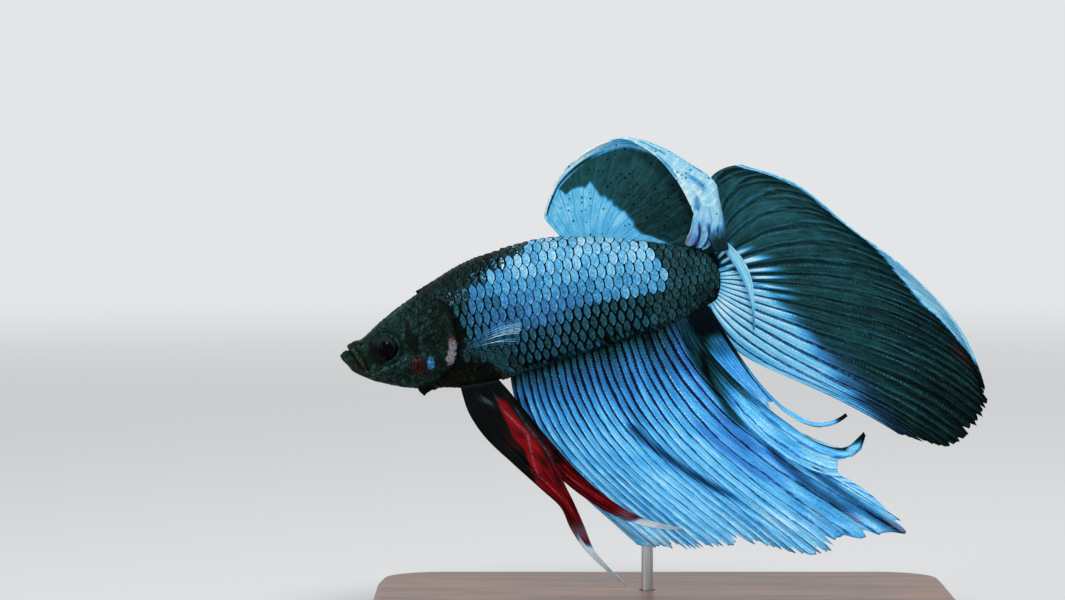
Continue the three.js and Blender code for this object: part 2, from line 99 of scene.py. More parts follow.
ANAL_ROWS = (
    (0, -22.4, -10.9, -8.4, -29.5, -84, -43, 0.36, 0.36, 0.15, 1, -0.3),
    (0.12, -19.9, -10.1, -4.2, -30.1, -84, -42, 0.36, 0.36, 0, 0.5, -0.6),
    (0.28, -16.6, -9.1, 0.1, -29.7, -82, -40, 0.36, 0.36, 0, -0.3, -1),
    (0.44, -13.2, -8, 5.1, -29.5, -80, -40, 0.36, 0.36, 0, -0.5, -1.4),
    (0.58, -10.1, -7, 10.8, -30.5, -78, -40, 0.36, 0.36, 0, -0.6, -1.8),
    (0.7, -7.6, -6.3, 15.2, -29.7, -74, -38, 0.36, 0.36, 0, -0.6, -2.2),
    (0.8, -5.5, -5.4, 21, -28.1, -68, -32, 0.34, 0.34, 0, -0.6, -2.4),
    (0.87, -4.3, -4.8, 18.5, -24.5, -68, -26, 0.32, 0.36, 0, -0.6, -2),
    (0.92, -3.2, -4.3, 16.4, -17, -76, 81, 0.2, 0.35, 0, -0.8, -2.6),
    (0.96, -2, -3.75, 15.2, -15.9, -60, 54, 0.26, 0.36, 0, -1, -2.8),
    (1, -0.6, -3.1, 14.3, -14.8, -58, 38, 0.26, 0.41, 0, -1.2, -3.2),
)
DORSAL_ROWS = (
    (0, -16.9, 4.4, -18.6, 6.4, 125, 120, 0.33, 0.33, 0, 0, 0, 0.7, 0, 0),
    (0.1, -15.9, 4.4, -18.1, 8.2, 118, 112, 0.33, 0.33, 0, 0.5, 0.2, 0.7, 10, 0),
    (0.22, -15, 4.4, -16.8, 10.7, 112, 105, 0.33, 0.33, 0, 1.2, 0.6, 0.7, 30, 0),
    (0.36, -14, 4.4, -14, 13.1, 102, 92, 0.33, 0.33, 0, 1.6, 0.8, 0.7, 60, 0),
    (0.5, -13, 4.4, -10.1, 14.6, 90, 76, 0.33, 0.33, 0, 1.8, 0.9, 0.7, 120, 0.2),
    (0.63, -12.1, 4.4, -6.2, 13.6, 74, 60, 0.33, 0.33, 0, 1.8, 0.9, 0.75, 170, 0.55),
    (0.75, -11, 4.35, -3.1, 11.7, 52, 50, 0.33, 0.33, 0, 1.4, 0.7, 0.8, 180, 1.55),
    (0.86, -9.2, 4.3, -0.7, 10, 36, 42, 0.33, 0.33, 0, 0.8, 0.3, 0.8, 180, 2.8),
    (0.94, -6.5, 4.1, -0.1, 7.8, 30, 36, 0.33, 0.33, 0, 0.2, -0.1, 0.8, 180, 2.4),
    (1, -1, 2.4, 0.7, 2.9, 22, 10, 0.33, 0.33, 0, -0.3, -0.3, 0.8, 180, 0.6),
)
GATHER_ROWS = (
    (0, -2.3, 6.9, -3.5, 4.2, -110, -140, 0.33, 0.33, -1.8, -2.5, -2.3),
    (0.5, -1.1, 6.8, -1.9, 3, -90, -112, 0.33, 0.33, -2, -2.4, -1.8),
    (1, 0.45, 6.6, -0.65, 3.4, -88, -112, 0.33, 0.33, -1.6, -1.9, -1.3),
)
STREAMER_ROWS = (
    (0, 0.2, 4, 4.25, -5.7, -52, -90, 0.4, 0.4, -0.6, -1.1, -0.9),
    (0.5, 0.45, 4.2, 4.35, -5.8, -44, -90, 0.42, 0.42, -0.6, -1.1, -0.9),
    (1, 0.7, 4.4, 4.45, -5.7, -36, -90, 0.44, 0.44, -0.6, -1.1, -0.9),
)
PELVIC_LEFT_ROWS = (
    (0, -27.7, -12.2, -10.2, -33.45, -77, -31, 0.19, 0.21, -1.1, -2.4, -4.4),
    (0.5, -25.7, -12.1, -9.95, -33.6, -63, -36, 0.42, 0.25, -1.1, -2.8, -4.4),
    (1, -23.6, -11.8, -9.75, -33.4, -53, -41, 0.66, 0.29, -1.1, -2.4, -4.4),
)
PELVIC_RIGHT_ROWS = (
    (0, -26.4, -12.4, -3.7, -27.6, -45, 3, 0.32, 0.36, -0.1, -1.7, -2.6),
    (0.5, -24.9, -12.2, -3.5, -27.5, -46, -2, 0.32, 0.36, -0.1, -1.9, -2.6),
    (1, -23.3, -11.7, -3.6, -27.4, -48, -6, 0.33, 0.36, -0.1, -1.7, -2.6),
)
# The left pelvic fin's outline: v, its front edge's x and z, its rear edge's x and z.
PELVIC_LEFT_EDGES = (
    (-0.01, -28, -11.5, -24, -10.9), (0, -27.8, -12.4, -23.5, -11.7), (0.1, -26.9, -15, -21.8, -13.6),
    (0.21, -25.1, -17.6, -20.2, -15.9), (0.36, -22, -20.5, -17.9, -19), (0.5, -18.95, -23.2, -16.5, -22.4),
    (0.6, -16.9, -25.1, -15.4, -24.6), (0.7, -15.8, -27.4, -14.3, -27.1), (0.8, -14.3, -29.6, -13.3, -29.5),
    (0.89, -12.5, -31.4, -11.9, -31.2), (1, -9.95, -33.5, -9.8, -33.4),
)
PECTORAL_ROWS = (
    (0, -26.8, -7, -21, -4.2, 44, 6, 0.36, 0.34, -3.6, -4.9, -5.6),
    (0.35, -26.8, -7.4, -21.3, -5.9, 20, 0, 0.34, 0.34, -3.6, -5.1, -5.9),
    (0.65, -26.8, -7.8, -22.2, -7.9, 0, -16, 0.34, 0.34, -3.6, -5.1, -5.8),
    (1, -26.7, -8.2, -22.9, -10.4, -20, -46, 0.34, 0.34, -3.4, -4.6, -5.2),
)

# Lines on the side of the head, as s and h.
MOUTH = ((-0.5, 0.3), (0.3, 0.52), (0.56, 0.55), (0.8, 0.25), (1.06, -0.09), (1.55, -1.19), (2.03, -1.87))
UPPER_JAW_BONE = ((1.2, 1), (1.57, 0.61), (1.99, -0.38), (2.46, -1.56), (2.6, -2.2))
GILL_EDGE = ((11.3, 4.5), (12.42, 3.37), (12.81, 1.84), (12.8, 0.77), (12.74, -0.66), (12.37, -2.39),
             (11.56, -3.66), (9.64, -4.69), (8.26, -5.21), (6.6, -5.4))
CHEEK_BONE = ((8.95, 2.6), (9, 1.6), (8.47, 0.25), (7.95, -1.57), (8, -3), (8.7, -3.9))
EYE_TO_GILL = ((6.2, 0.5), (7.4, 0.75), (8.6, 0.7))
LOWER_CHEEK = ((3.1, -2.5), (4.8, -2.25), (6.9, -1.7))
JAW_LINE = ((2.4, -2.6), (4.4, -3.5), (6.6, -4.1))
PINK_CRESCENT = ((12.2, -0.85), (12.12, -1.25), (11.92, -1.9), (11.52, -2.65))
NOSTRIL = (2.23, 0.79)

# The bright blue of the flank: where it begins and where it ends, along s.
BRIGHT_FROM = ((-9, 20.5), (-0.4, 14.5), (0.7, 14.3), (1.8, 14.6), (3.5, 14.2), (4.9, 16), (6.3, 18.4), (6.97, 21),
               (7.7, 21.8), (9, 22.6))
BRIGHT_TO = ((-9, 33), (-0.5, 33.6), (0.5, 36.3), (1.5, 36.6), (2.7, 36), (4.2, 35.4), (5.4, 34.6), (9, 34))
BRIGHT_FLOOR = ((12, 0.3), (14.8, 0), (19.7, -0.15), (24, -0.15), (28.8, 0.1), (31, 0.2), (34.6, 0.35), (37, 0.5))


class Side(Enum):
    """Which side of the fish a piece is on."""

    LEFT = -1
    RIGHT = 1


class Mark(Enum):
    """The painted markings, some of them painted light and shade, that skin, scales and fins carry as vertex values.
    """

    TONE = "tone"
    VIOLET = "violet"
    RED = "red"
    PINK = "pink"
    WARM = "warm"
    LINES = "lines"
    BEADS = "beads"
    FLECK = "fleck"


# ---- small helpers
def linear(red: float, green: float, blue: float) -> tuple[float, float, float, float]:
    """Turns a display colour into the linear one a shader takes.

    Args:
        red: Red, 0 to 255.
        green: Green, 0 to 255.
        blue: Blue, 0 to 255.

    Returns:
        Linear red, green, blue and an alpha of 1.
    """
    parts = [c / 255 for c in (red, green, blue)]
    out = [c / 12.92 if c <= 0.04045 else ((c + 0.055) / 1.055) ** 2.4 for c in parts]
    return (out[0], out[1], out[2], 1)


def rise(x: Array, low: float, high: float) -> Array:
    """A smooth rise of x from 0 at low to 1 at high."""
    f = np.clip((x - low) / (high - low), 0, 1)
    return f * f * (3 - 2 * f)


def fall(x: Array, low: float, high: float) -> Array:
    """A smooth fall of x from 1 at low to 0 at high."""
    return 1 - rise(x, low, high)


def hump(x: Array, width: float) -> Array:
    """A bell over x: 1 at 0, and about a third at a distance of the width."""
    return np.exp(-((x / width) ** 2))


def unit(vectors: Array) -> Array:
    """Brings vectors, held along the last axis, to a length of 1."""
    return vectors / (np.linalg.norm(vectors, axis=-1, keepdims=True) + 1e-12)


def read_table(rows: tuple, at: Array) -> Array:
    """Reads a table with a smooth curve through its rows.

    Each stretch between two rows is a cubic whose slope at a row is that of
    the straight line between the rows on either side of it.

    Args:
        rows: Rows of a key and values.
        at: Keys to read.

    Returns:
        Values with one more axis than at.
    """
    t = np.asarray(rows, float)
    key, val = t[:, 0], t[:, 1:]
    slope = np.empty_like(val)
    slope[1:-1] = (val[2:] - val[:-2]) / (key[2:] - key[:-2])[:, None]
    slope[0] = (val[1] - val[0]) / (key[1] - key[0])
    slope[-1] = (val[-1] - val[-2]) / (key[-1] - key[-2])
    at = np.asarray(at, float)
    i = np.clip(np.searchsorted(key, at, side="right") - 1, 0, len(key) - 2)
    gap = (key[i + 1] - key[i])[..., None]
    f = np.clip((at - key[i])[..., None] / gap, 0, 1)
    return (
        (1 + 2 * f) * (1 - f) ** 2 * val[i] + f * (1 - f) ** 2 * gap * slope[i]
        + f * f * (3 - 2 * f) * val[i + 1] + f * f * (f - 1) * gap * slope[i + 1]
    )


def bent_line(at: Array, corners: tuple) -> Array:
    """Reads a bent line whose corners are pairs of a place and a value."""
    return np.interp(at, *np.transpose(corners))


def line_distance(s: Array, h: Array, line: tuple) -> tuple[Array, Array]:
    """Distance from points to a bent line, and on which side of it they lie.

    Args:
        s: First coordinate of the points.
        h: Second coordinate of the points.
        line: Corners of the line.

    Returns:
        The distance, and the same distance with a minus sign on the right of
        the line's direction.
    """
    best = np.full(np.shape(s), 1e9)
    sign = np.ones(np.shape(s))
    for (x0, y0), (x1, y1) in zip(line[:-1], line[1:]):
        dx, dy = x1 - x0, y1 - y0
        t = np.clip(((s - x0) * dx + (h - y0) * dy) / (dx * dx + dy * dy), 0, 1)
        d = np.hypot(s - x0 - t * dx, h - y0 - t * dy)
        side = np.where((s - x0) * dy - (h - y0) * dx >= 0, -1, 1)
        nearer = d < best
        best, sign = np.where(nearer, d, best), np.where(nearer, side, sign)
    return best, best * sign


def ripple(x: Array, y: Array, seed: int, scale: float) -> Array:
    """Soft irregular waves made of a few crossed sines.

    Args:
        x: First coordinate.
        y: Second coordinate.
        seed: Which pattern.
        scale: Typical size of a wave.

    Returns:
        Values of about -1 to 1.
    """
    rng = np.random.default_rng(seed)
    total = np.zeros(np.broadcast(x, y).shape)
    for _ in range(7):
        angle, phase = rng.uniform(0, TURN, 2)
        pace = rng.uniform(0.7, 1.6) * TURN / scale
        total += np.sin(pace * (x * math.cos(angle) + y * math.sin(angle)) + phase)
    return total / 3.2


# ---- meshes
@dataclass
class MeshData:
    """Everything one mesh is made from.

    Points are in millimetres. Corner arrays have one row for each corner of
    each face, in the order the faces give.
    """

    points: Array
    faces: list[Array]
    bake_uv: Array
    local_uv: Array | None = None
    values: dict[Mark, Array] = field(default_factory=dict)

    def turned_out(self) -> "MeshData":
        """Turns a closed mesh's faces outwards.

        Returns:
            This mesh, with every face reversed if its volume came out negative.
        """
        volume = 0
        for f in self.faces:
            p = self.points[f]
            for k in range(1, f.shape[1] - 1):
                volume += float(np.einsum("ij,ij->", p[:, 0], np.cross(p[:, k], p[:, k + 1])))
        if volume < 0:
            start = 0
            for n, f in enumerate(self.faces):
                size = f.size
                for uv in (self.bake_uv, self.local_uv):
                    if uv is not None:
                        part = uv[start:start + size].reshape(f.shape + (2,))[:, ::-1]
                        uv[start:start + size] = part.reshape(-1, 2)
                self.faces[n] = f[:, ::-1]
                start += size
        return self

    def build(self, name: str, material: Material) -> Object:
        """Makes the Blender object.

        Args:
            name: The piece's name.
            material: What it is painted with.

        Returns:
            The new object, linked to the scene and smooth shaded.
        """
        mesh = bpy.data.meshes.new(name)
        corners = np.concatenate([f.ravel() for f in self.faces]).astype(np.int32)
        sizes = np.concatenate([np.full(len(f), f.shape[1]) for f in self.faces])
        starts = np.concatenate([[0], np.cumsum(sizes)[:-1]]).astype(np.int32)
        mesh.vertices.add(len(self.points))
        mesh.vertices.foreach_set("co", (self.points * MM).astype(np.float32).ravel())
        mesh.loops.add(len(corners))
        mesh.loops.foreach_set("vertex_index", corners)
        mesh.polygons.add(len(starts))
        mesh.polygons.foreach_set("loop_start", starts)
        mesh.polygons.foreach_set("use_smooth", np.ones(len(starts), bool))
        mesh.update(calc_edges=True)
        for title, uv in (("OFBake", self.bake_uv), ("local", self.local_uv)):
            if uv is not None:
                layer = mesh.uv_layers.new(name=title)
                layer.data.foreach_set("uv", uv.astype(np.float32).ravel())
        for mark, value in self.values.items():
            layer = mesh.attributes.new(mark.value, "FLOAT", "POINT")
            layer.data.foreach_set("value", value.astype(np.float32).ravel())
        mesh.validate()
        mesh.materials.append(material)
        obj = bpy.data.objects.new(name, mesh)
        bpy.context.scene.collection.objects.link(obj)
        log.info("%s: %d points, %d faces", name, len(self.points), len(starts))
        return obj


def grid_quads(rows: int, columns: int, wrap: bool = False) -> Array:
    """Corner numbers of the quads of a grid of points.

    Args:
        rows: How many rows of points.
        columns: How many points in a row.
        wrap: True if each row closes on itself.

    Returns:
        An array of four corner numbers for each quad, with the normal along
        the cross product of the row direction and the column direction.
    """
    i, j = np.meshgrid(np.arange(rows - 1), np.arange(columns if wrap else columns - 1), indexing="ij")
    k = (j + 1) % columns
    quad = [i * columns + j, (i + 1) * columns + j, (i + 1) * columns + k, i * columns + k]
    return np.stack(quad, -1).reshape(-1, 4)


def end_fans(rows: int, columns: int) -> Array:
    """Corner numbers of the triangles that close both ends of a wrapped grid.

    Args:
        rows: How many rows of points.
        columns: How many points in a row.

    Returns:
        Three corner numbers for each triangle. The two end points follow the
        grid's own points.
    """
    j = np.arange(columns)
    k, last, end = (j + 1) % columns, (rows - 1) * columns, np.full(columns, rows * columns)
    return np.concatenate([np.stack([end, j, k], -1), np.stack([end + 1, last + k, last + j], -1)])


# ---- the shape
def fish_to_part(x: Array, y: Array, h: Array) -> Array:
    """Takes points of the body's own frame to the model's frame.

    The body's frame is turned head down by the pitch about the tail root.

    Args:
        x: Distance behind the tail root along the axis.
        y: Sideways place.
        h: Height over the axis.

    Returns:
        Points in the model's frame.
    """
    c, q = math.cos(PITCH), math.sin(PITCH)
    return np.stack([x * c - h * q, y + 0 * x, x * q + h * c], -1) + TAIL_ROOT


def body_point(s: Array, turn: Array, inset: Array | float = 0) -> tuple[Array, Array]:
    """A point of the body's outer surface.

    Round each station the height goes as the cosine of the turn and the width
    as its sine, narrowed to a keel along the belly. The tail end is rounded.

    Args:
        s: Distance from the snout.
        turn: 0 along the back and pi along the belly, positive to the right.
        inset: How far inside the outer surface.

    Returns:
        The point in the model's frame, and its height over the axis.
    """
    top, bottom, half = np.moveaxis(read_table(BODY_ROWS, s), -1, 0)
    mid = (top + bottom) / 2 + WIDEST * (top - bottom)
    c, q = np.cos(turn), np.sin(turn)
    keel = np.where(c < 0, 1 - KEEL * c * c, 1)
    y = np.maximum(half * keel - inset, 0) * np.sign(q) * np.abs(q) ** SQUARE
    h = mid + np.where(c > 0, top - mid - inset, mid - bottom - inset) * c
    past = np.clip((s - END_FROM) / (END_AT - END_FROM), 0, 1)
    round_off = np.sqrt(1 - past ** 2)
    y, h = y * round_off, END_HEIGHT + (h - END_HEIGHT) * round_off
    return fish_to_part(s - BODY_LENGTH, y, h), h


@dataclass
class Flank:
    """A map of one side of the body by s and the distance up the flank.

    The distance is measured along the skin from a line that runs from behind
    the gill cover to the tail root, and is positive towards the back.
    """

    step_s: float = 0.1
    step_over: float = 0.1
    reach: float = 13.0

    def __post_init__(self) -> None:
        """Works out the turn at each place of the map, and where the belly lies."""
        self.stations = np.arange(4, 42.4, self.step_s)
        turns = np.linspace(0, math.pi, 241)
        points, height = body_point(self.stations[:, None], turns[None, :])
        lengths = np.linalg.norm(np.diff(points, axis=1), axis=-1)
        arc = np.concatenate([np.zeros((len(lengths), 1)), np.cumsum(lengths, axis=1)], axis=1)
        ups = np.arange(-self.reach, self.reach + 1e-6, self.step_over)
        middle = np.interp(self.stations, [4, 13, 41], [1.2, 1.2, 0.2])
        start = np.array([np.interp(-m, -up, run) for m, up, run in zip(middle, height, arc)])
        self.table = np.stack([np.interp(x - ups, run, turns) for x, run in zip(start, arc)])
        self.belly = start - arc[:, -1]

    def turn(self, s: Array, up: Array) -> Array:
        """The turn of a place on the flank.

        Args:
            s: Distance from the snout.
            up: Distance up the flank.

        Returns:
            The turn, from 0 along the back to pi along the belly.
        """
        a = np.clip((s - self.stations[0]) / self.step_s, 0, len(self.stations) - 1.001)
        b = np.clip((up + self.reach) / self.step_over, 0, self.table.shape[1] - 1.001)
        i, j = a.astype(int), b.astype(int)
        f, g = a - i, b - j
        near = (1 - g) * self.table[i, j] + g * self.table[i, j + 1]
        return (1 - f) * near + f * ((1 - g) * self.table[i + 1, j] + g * self.table[i + 1, j + 1])

    def place(self, s: Array, up: Array, lift: Array, side: Side) -> Array:
        """A point over the flank.

        Args:
            s: Distance from the snout.
            up: Distance up the flank.
            lift: Height over the skin.
            side: Which side of the fish.

        Returns:
            The point in the model's frame.
        """
        eps = 0.05
        turn = side.value * self.turn(s, up)
        p, _ = body_point(s, turn)
        n = unit(np.cross(body_point(s + eps, turn)[0] - p, body_point(s, turn + eps)[0] - p))
        n *= np.where(n[..., 1:2] * side.value < 0, -1, 1)
        return p + n * lift[..., None]


# ---- markings
def body_tone(s: Array, h: Array) -> Array:
    """How light the scales are, from 0 for black to 1 for bluish white.

    A bright field covers the upper flank from behind the nape to the tail
    stalk. It pales towards the back, and below it the flank darkens to the
    belly and to the stalk. The stalk's dark tone is partly the fish's own
    colour and partly painted shadow of the dorsal fin.

    Args:
        s: Distance from the snout.
        h: Height over the axis.

    Returns:
        The tone.
    """
    top, bottom = np.moveaxis(read_table(BODY_ROWS, s)[..., :2], -1, 0)
    start, end, floor = bent_line(h, BRIGHT_FROM), bent_line(h, BRIGHT_TO), bent_line(s, BRIGHT_FLOOR)
    level = np.clip((h - floor) / (top - floor), 0, 1)
    high = np.interp(level, [0, 0.18, 0.4, 0.65, 0.85, 1], [0.575, 0.61, 0.675, 0.75, 0.79, 0.81])
    high = high - 0.16 * rise(23 - s, 0, 8) * (1 - 0.75 * level) + 0.12 * rise(s, 26, 33) * (1 - level)
    under = np.clip((floor - h) / (floor - bottom), 0, 1)
    low = np.interp(under, [0, 0.12, 0.3, 0.6, 0.85, 1], [0.55, 0.48, 0.44, 0.42, 0.39, 0.36])
    low = low - 0.11 * rise(s, 22, 30) * (1 - 0.5 * under) - 0.1 * fall(s, 17, 23) * rise(under, 0.1, 0.5)
    flank = low + (high - low) * rise(h - floor, -0.75, 0.45)
    # The tail stalk: dark teal, partly painted shadow cast by the dorsal fin.
    stalk = 0.345 - 0.04 * rise(s, 39, 42.5) - 0.12 * rise(s, 37, 41) * rise(-h, -0.6, 2)
    nape = 0.205 + 0.02 * ripple(s, h, 3, 2)
    tone = np.where(s > end, stalk, flank)
    nape += 0.19 * rise(s - start, -2.6, -0.2) * fall(h, 2, 4)
    inside = rise(s - start, -0.5, 0.9)
    return nape + (tone - nape) * inside


@dataclass(frozen=True)
class Patch:
    """A soft oval on the side of the head, and what it adds at its middle."""

    s: float
    h: float
    wide: float
    tall: float
    amount: float = 1.0
    broken: tuple[float, float] | None = None

    def cover(self, s: Array, h: Array) -> Array:
        """How deep inside it a place lies: 1 at the middle, a third at the edge."""
        return hump(np.hypot((s - self.s) / self.wide, (h - self.h) / self.tall), 1)

    def adds(self, s: Array, h: Array, mottle: Array | float = 0) -> Array:
        """What it adds at a place, less where the mottle breaks it up."""
        return self.amount * self.cover(s, h) * (rise(mottle, *self.broken) if self.broken else 1)


HEAD_PATCHES = (
    Patch(9.4, 1.5, 1.5, 1.875, 0.12, (-0.6, 0.5)), Patch(7.9, 0.1, 0.6, 1.6, -0.14),
    Patch(9.5, 0, 1, 0.6, -0.12), Patch(10.8, -0.9, 1.222, 1.571, 0.06, (-0.6, 0.5)),
    Patch(6.9, 1.1, 0.8, 0.8, 0.08, (-0.5, 0.6)),
)
RED_FLECKS = (Patch(12.1, -0.6, 0.42, 0.42, 0.5, (0.1, 0.5)), Patch(11.4, -2.9, 0.3, 0.3, 0.25, (-0.2, 0.4)))
GOLD_FLECK = Patch(12.3, -0.1, 0.45, 0.75, 0.5, (0, 0.6))
WARM_CHIN = Patch(1.4, -1.5, 0.8, 0.8, 0.35)
BLUE_SPOT = Patch(9.38, -2.66, 0.418, 0.722)
RED_PATCH = Patch(7.95, -2.75, 0.589, 0.76)
PALE_PATCH = Patch(8.05, -1.9, 0.665, 0.285, 1, (0.35, 0.8))


def head_marks(s: Array, h: Array) -> dict[Mark, Array]:
    """The markings of the bare skin, with painted light and shade at the eye, the nostril and the gill opening.

    Args:
        s: Distance from the snout.
        h: Height over the axis.

    Returns:
        Values for each mark.
    """
    top, bottom = np.moveaxis(read_table(BODY_ROWS, s)[..., :2], -1, 0)
    mottle = ripple(s, h, 5, 0.95) * 0.5 + ripple(s, h, 6, 0.45) * 0.5
    blotch = rise(ripple(s, h, 15, 1.5) * 0.6 + ripple(s, h, 16, 0.7) * 0.6, -0.1, 0.8)
    tone = 0.185 + 0.035 * mottle + 0.08 * blotch * rise(s, 2.8, 5)
    tone += 0.06 * rise(h - top, -3, -0.8) * fall(s, 8, 11)
    cheek = line_distance(s, h, LOWER_CHEEK)[0]
    tone += (0.1 * hump(cheek, 0.2) + 0.08 * hump(cheek, 0.8)) * rise(mottle, -0.8, 0.5)
    tone += 0.07 * hump(line_distance(s, h, JAW_LINE)[0], 0.7) * rise(mottle, -0.4, 0.8)
    tone += sum(patch.adds(s, h, mottle) for patch in HEAD_PATCHES)
    tone -= 0.12 * rise(bottom + 1.5 - h, 0, 1.6) * rise(s, 6.5, 9.5)
    tone = tone - 0.1 * hump(line_distance(s, h, CHEEK_BONE)[0], 0.16) - 0.055 * rise(s, 8.6, 10)
    bone, rear = line_distance(s, h, UPPER_JAW_BONE)
    mouth, above = line_distance(s, h, MOUTH)
    lip = rise(-rear, 0, 0.15) * rise(above, 0.03, 0.15) * fall(-h, 1.9, 2.4)
    tone += (0.27 + 0.015 * mottle - tone) * lip
    tone -= 0.13 * hump(bone - 0.03, 0.1) * rise(s, 1.1, 1.6)
    tone -= 0.15 * hump(mouth, 0.14) * fall(-h, 1.6, 2.2)
    # The nostril: painted shade in its pit and a lighter ring of painted light on its rim.
    pit = np.hypot(s - NOSTRIL[0], h - NOSTRIL[1])
    tone = tone - 0.2 * hump(pit, 0.15) + 0.09 * hump(pit - 0.29, 0.09)
    ring = np.hypot(s - EYE_S, h - EYE_H)
    # Painted light: the ring round the eye is lighter towards its upper rear and darker on the other side.
    lit_side = 0.5 + 0.5 * np.cos(np.arctan2(h - EYE_H, s - EYE_S) - 0.9)
    tone += (0.11 * lit_side - 0.06) * hump(ring - 1.48, 0.17)
    tone = tone - 0.09 * hump(ring - 1.8, 0.14) - 0.2 * fall(ring, 1.24, 1.36)
    # Behind the gill cover's edge: painted shade, near black, in the gill opening, and a dark line of painted shade
    # along the edge.
    _, gill = line_distance(s, h, GILL_EDGE)
    behind = rise(gill, 0.02, 0.3) * (s > 7)
    tone = tone * (1 - behind) + (0.035 + 0.12 * rise(s, 15, 22)) * behind
    tone -= 0.16 * hump(gill + 0.02, 0.26) * (s > 7)
    spot = BLUE_SPOT.cover(s - 0.2 * (h - BLUE_SPOT.h), h)
    spot = rise(spot + 0.07 * ripple(s, h, 7, 0.5), 0.28, 0.5)
    tone += (0.59 + 0.06 * ripple(s, h, 12, 0.4) - tone) * 0.9 * spot
    patch = RED_PATCH.cover(s, h)
    tone -= 0.12 * patch * (1 - spot)
    red = 0.4 * patch * rise(ripple(s, h, 8, 0.34), -0.1, 0.5) * (1 - spot)
    red += sum(fleck.adds(s, h, ripple(s, h, 10, 0.3)) for fleck in RED_FLECKS)
    crescent = line_distance(s, h, PINK_CRESCENT)[0]
    body = fall(crescent + 0.17 * ripple(s, h, 9, 0.55), 0.27, 0.5)
    pink = body * np.clip(0.66 + 0.5 * ripple(s, h, 11, 0.24), 0.1, 1) * (0.35 + 0.65 * rise(-h, 0.5, 1.2))
    pink += 0.7 * PALE_PATCH.adds(s, h, ripple(s, h, 17, 0.24))
    gold = GOLD_FLECK.adds(s, h, ripple(s, h, 18, 0.3))
    warm = 0.25 - 0.1 * blotch + 0.16 * lip + 0.1 * fall(s, 3, 6)
    warm += (0.4 - warm) * rise(-h, 3.6, 5.2) * rise(s, 9.5, 12.5) * fall(s, 15, 19)
    warm += WARM_CHIN.adds(s, h) + gold
    return {
        Mark.TONE: np.clip(tone + 0.25 * gold, 0.01, 1), Mark.RED: np.clip(red, 0, 1),
        Mark.PINK: np.clip(pink, 0, 1), Mark.WARM: np.clip(warm, 0, 1) * (1 - spot), Mark.VIOLET: 0.35 * spot,
    }


# ---- node helpers
FLOAT, COLOR = "NodeSocketFloat", "NodeSocketColor"


class Wire:
    """A node's output, which can be reckoned with like a number."""

    def __init__(self, graph: "Graph", socket: NodeSocket) -> None:
        """Takes the graph it belongs to and the output itself."""
        self.graph, self.socket = graph, socket

    def __add__(self, other: "Wire | float") -> "Wire":
        """The sum."""
        return self.graph.math("ADD", self, other)

    def __sub__(self, other: "Wire | float") -> "Wire":
        """The difference."""
        return self.graph.math("SUBTRACT", self, other)

    def __rsub__(self, other: float) -> "Wire":
        """A number less this one."""
        return self.graph.math("SUBTRACT", other, self)

    def __mul__(self, other: "Wire | float") -> "Wire":
        """The product."""
        return self.graph.math("MULTIPLY", self, other)

    def __abs__(self) -> "Wire":
        """The value without its sign."""
        return self.graph.math("ABSOLUTE", self)

    def rise(self, low: "Wire | float", high: "Wire | float", to: float = 1.0) -> "Wire":
        """A smooth rise from 0 at low to a top value at high."""
        smooth = {"interpolation_type": "SMOOTHSTEP"}
        return self.graph.read(0, "ShaderNodeMapRange", smooth, i0=self, i1=low, i2=high, i3=0, i4=to)


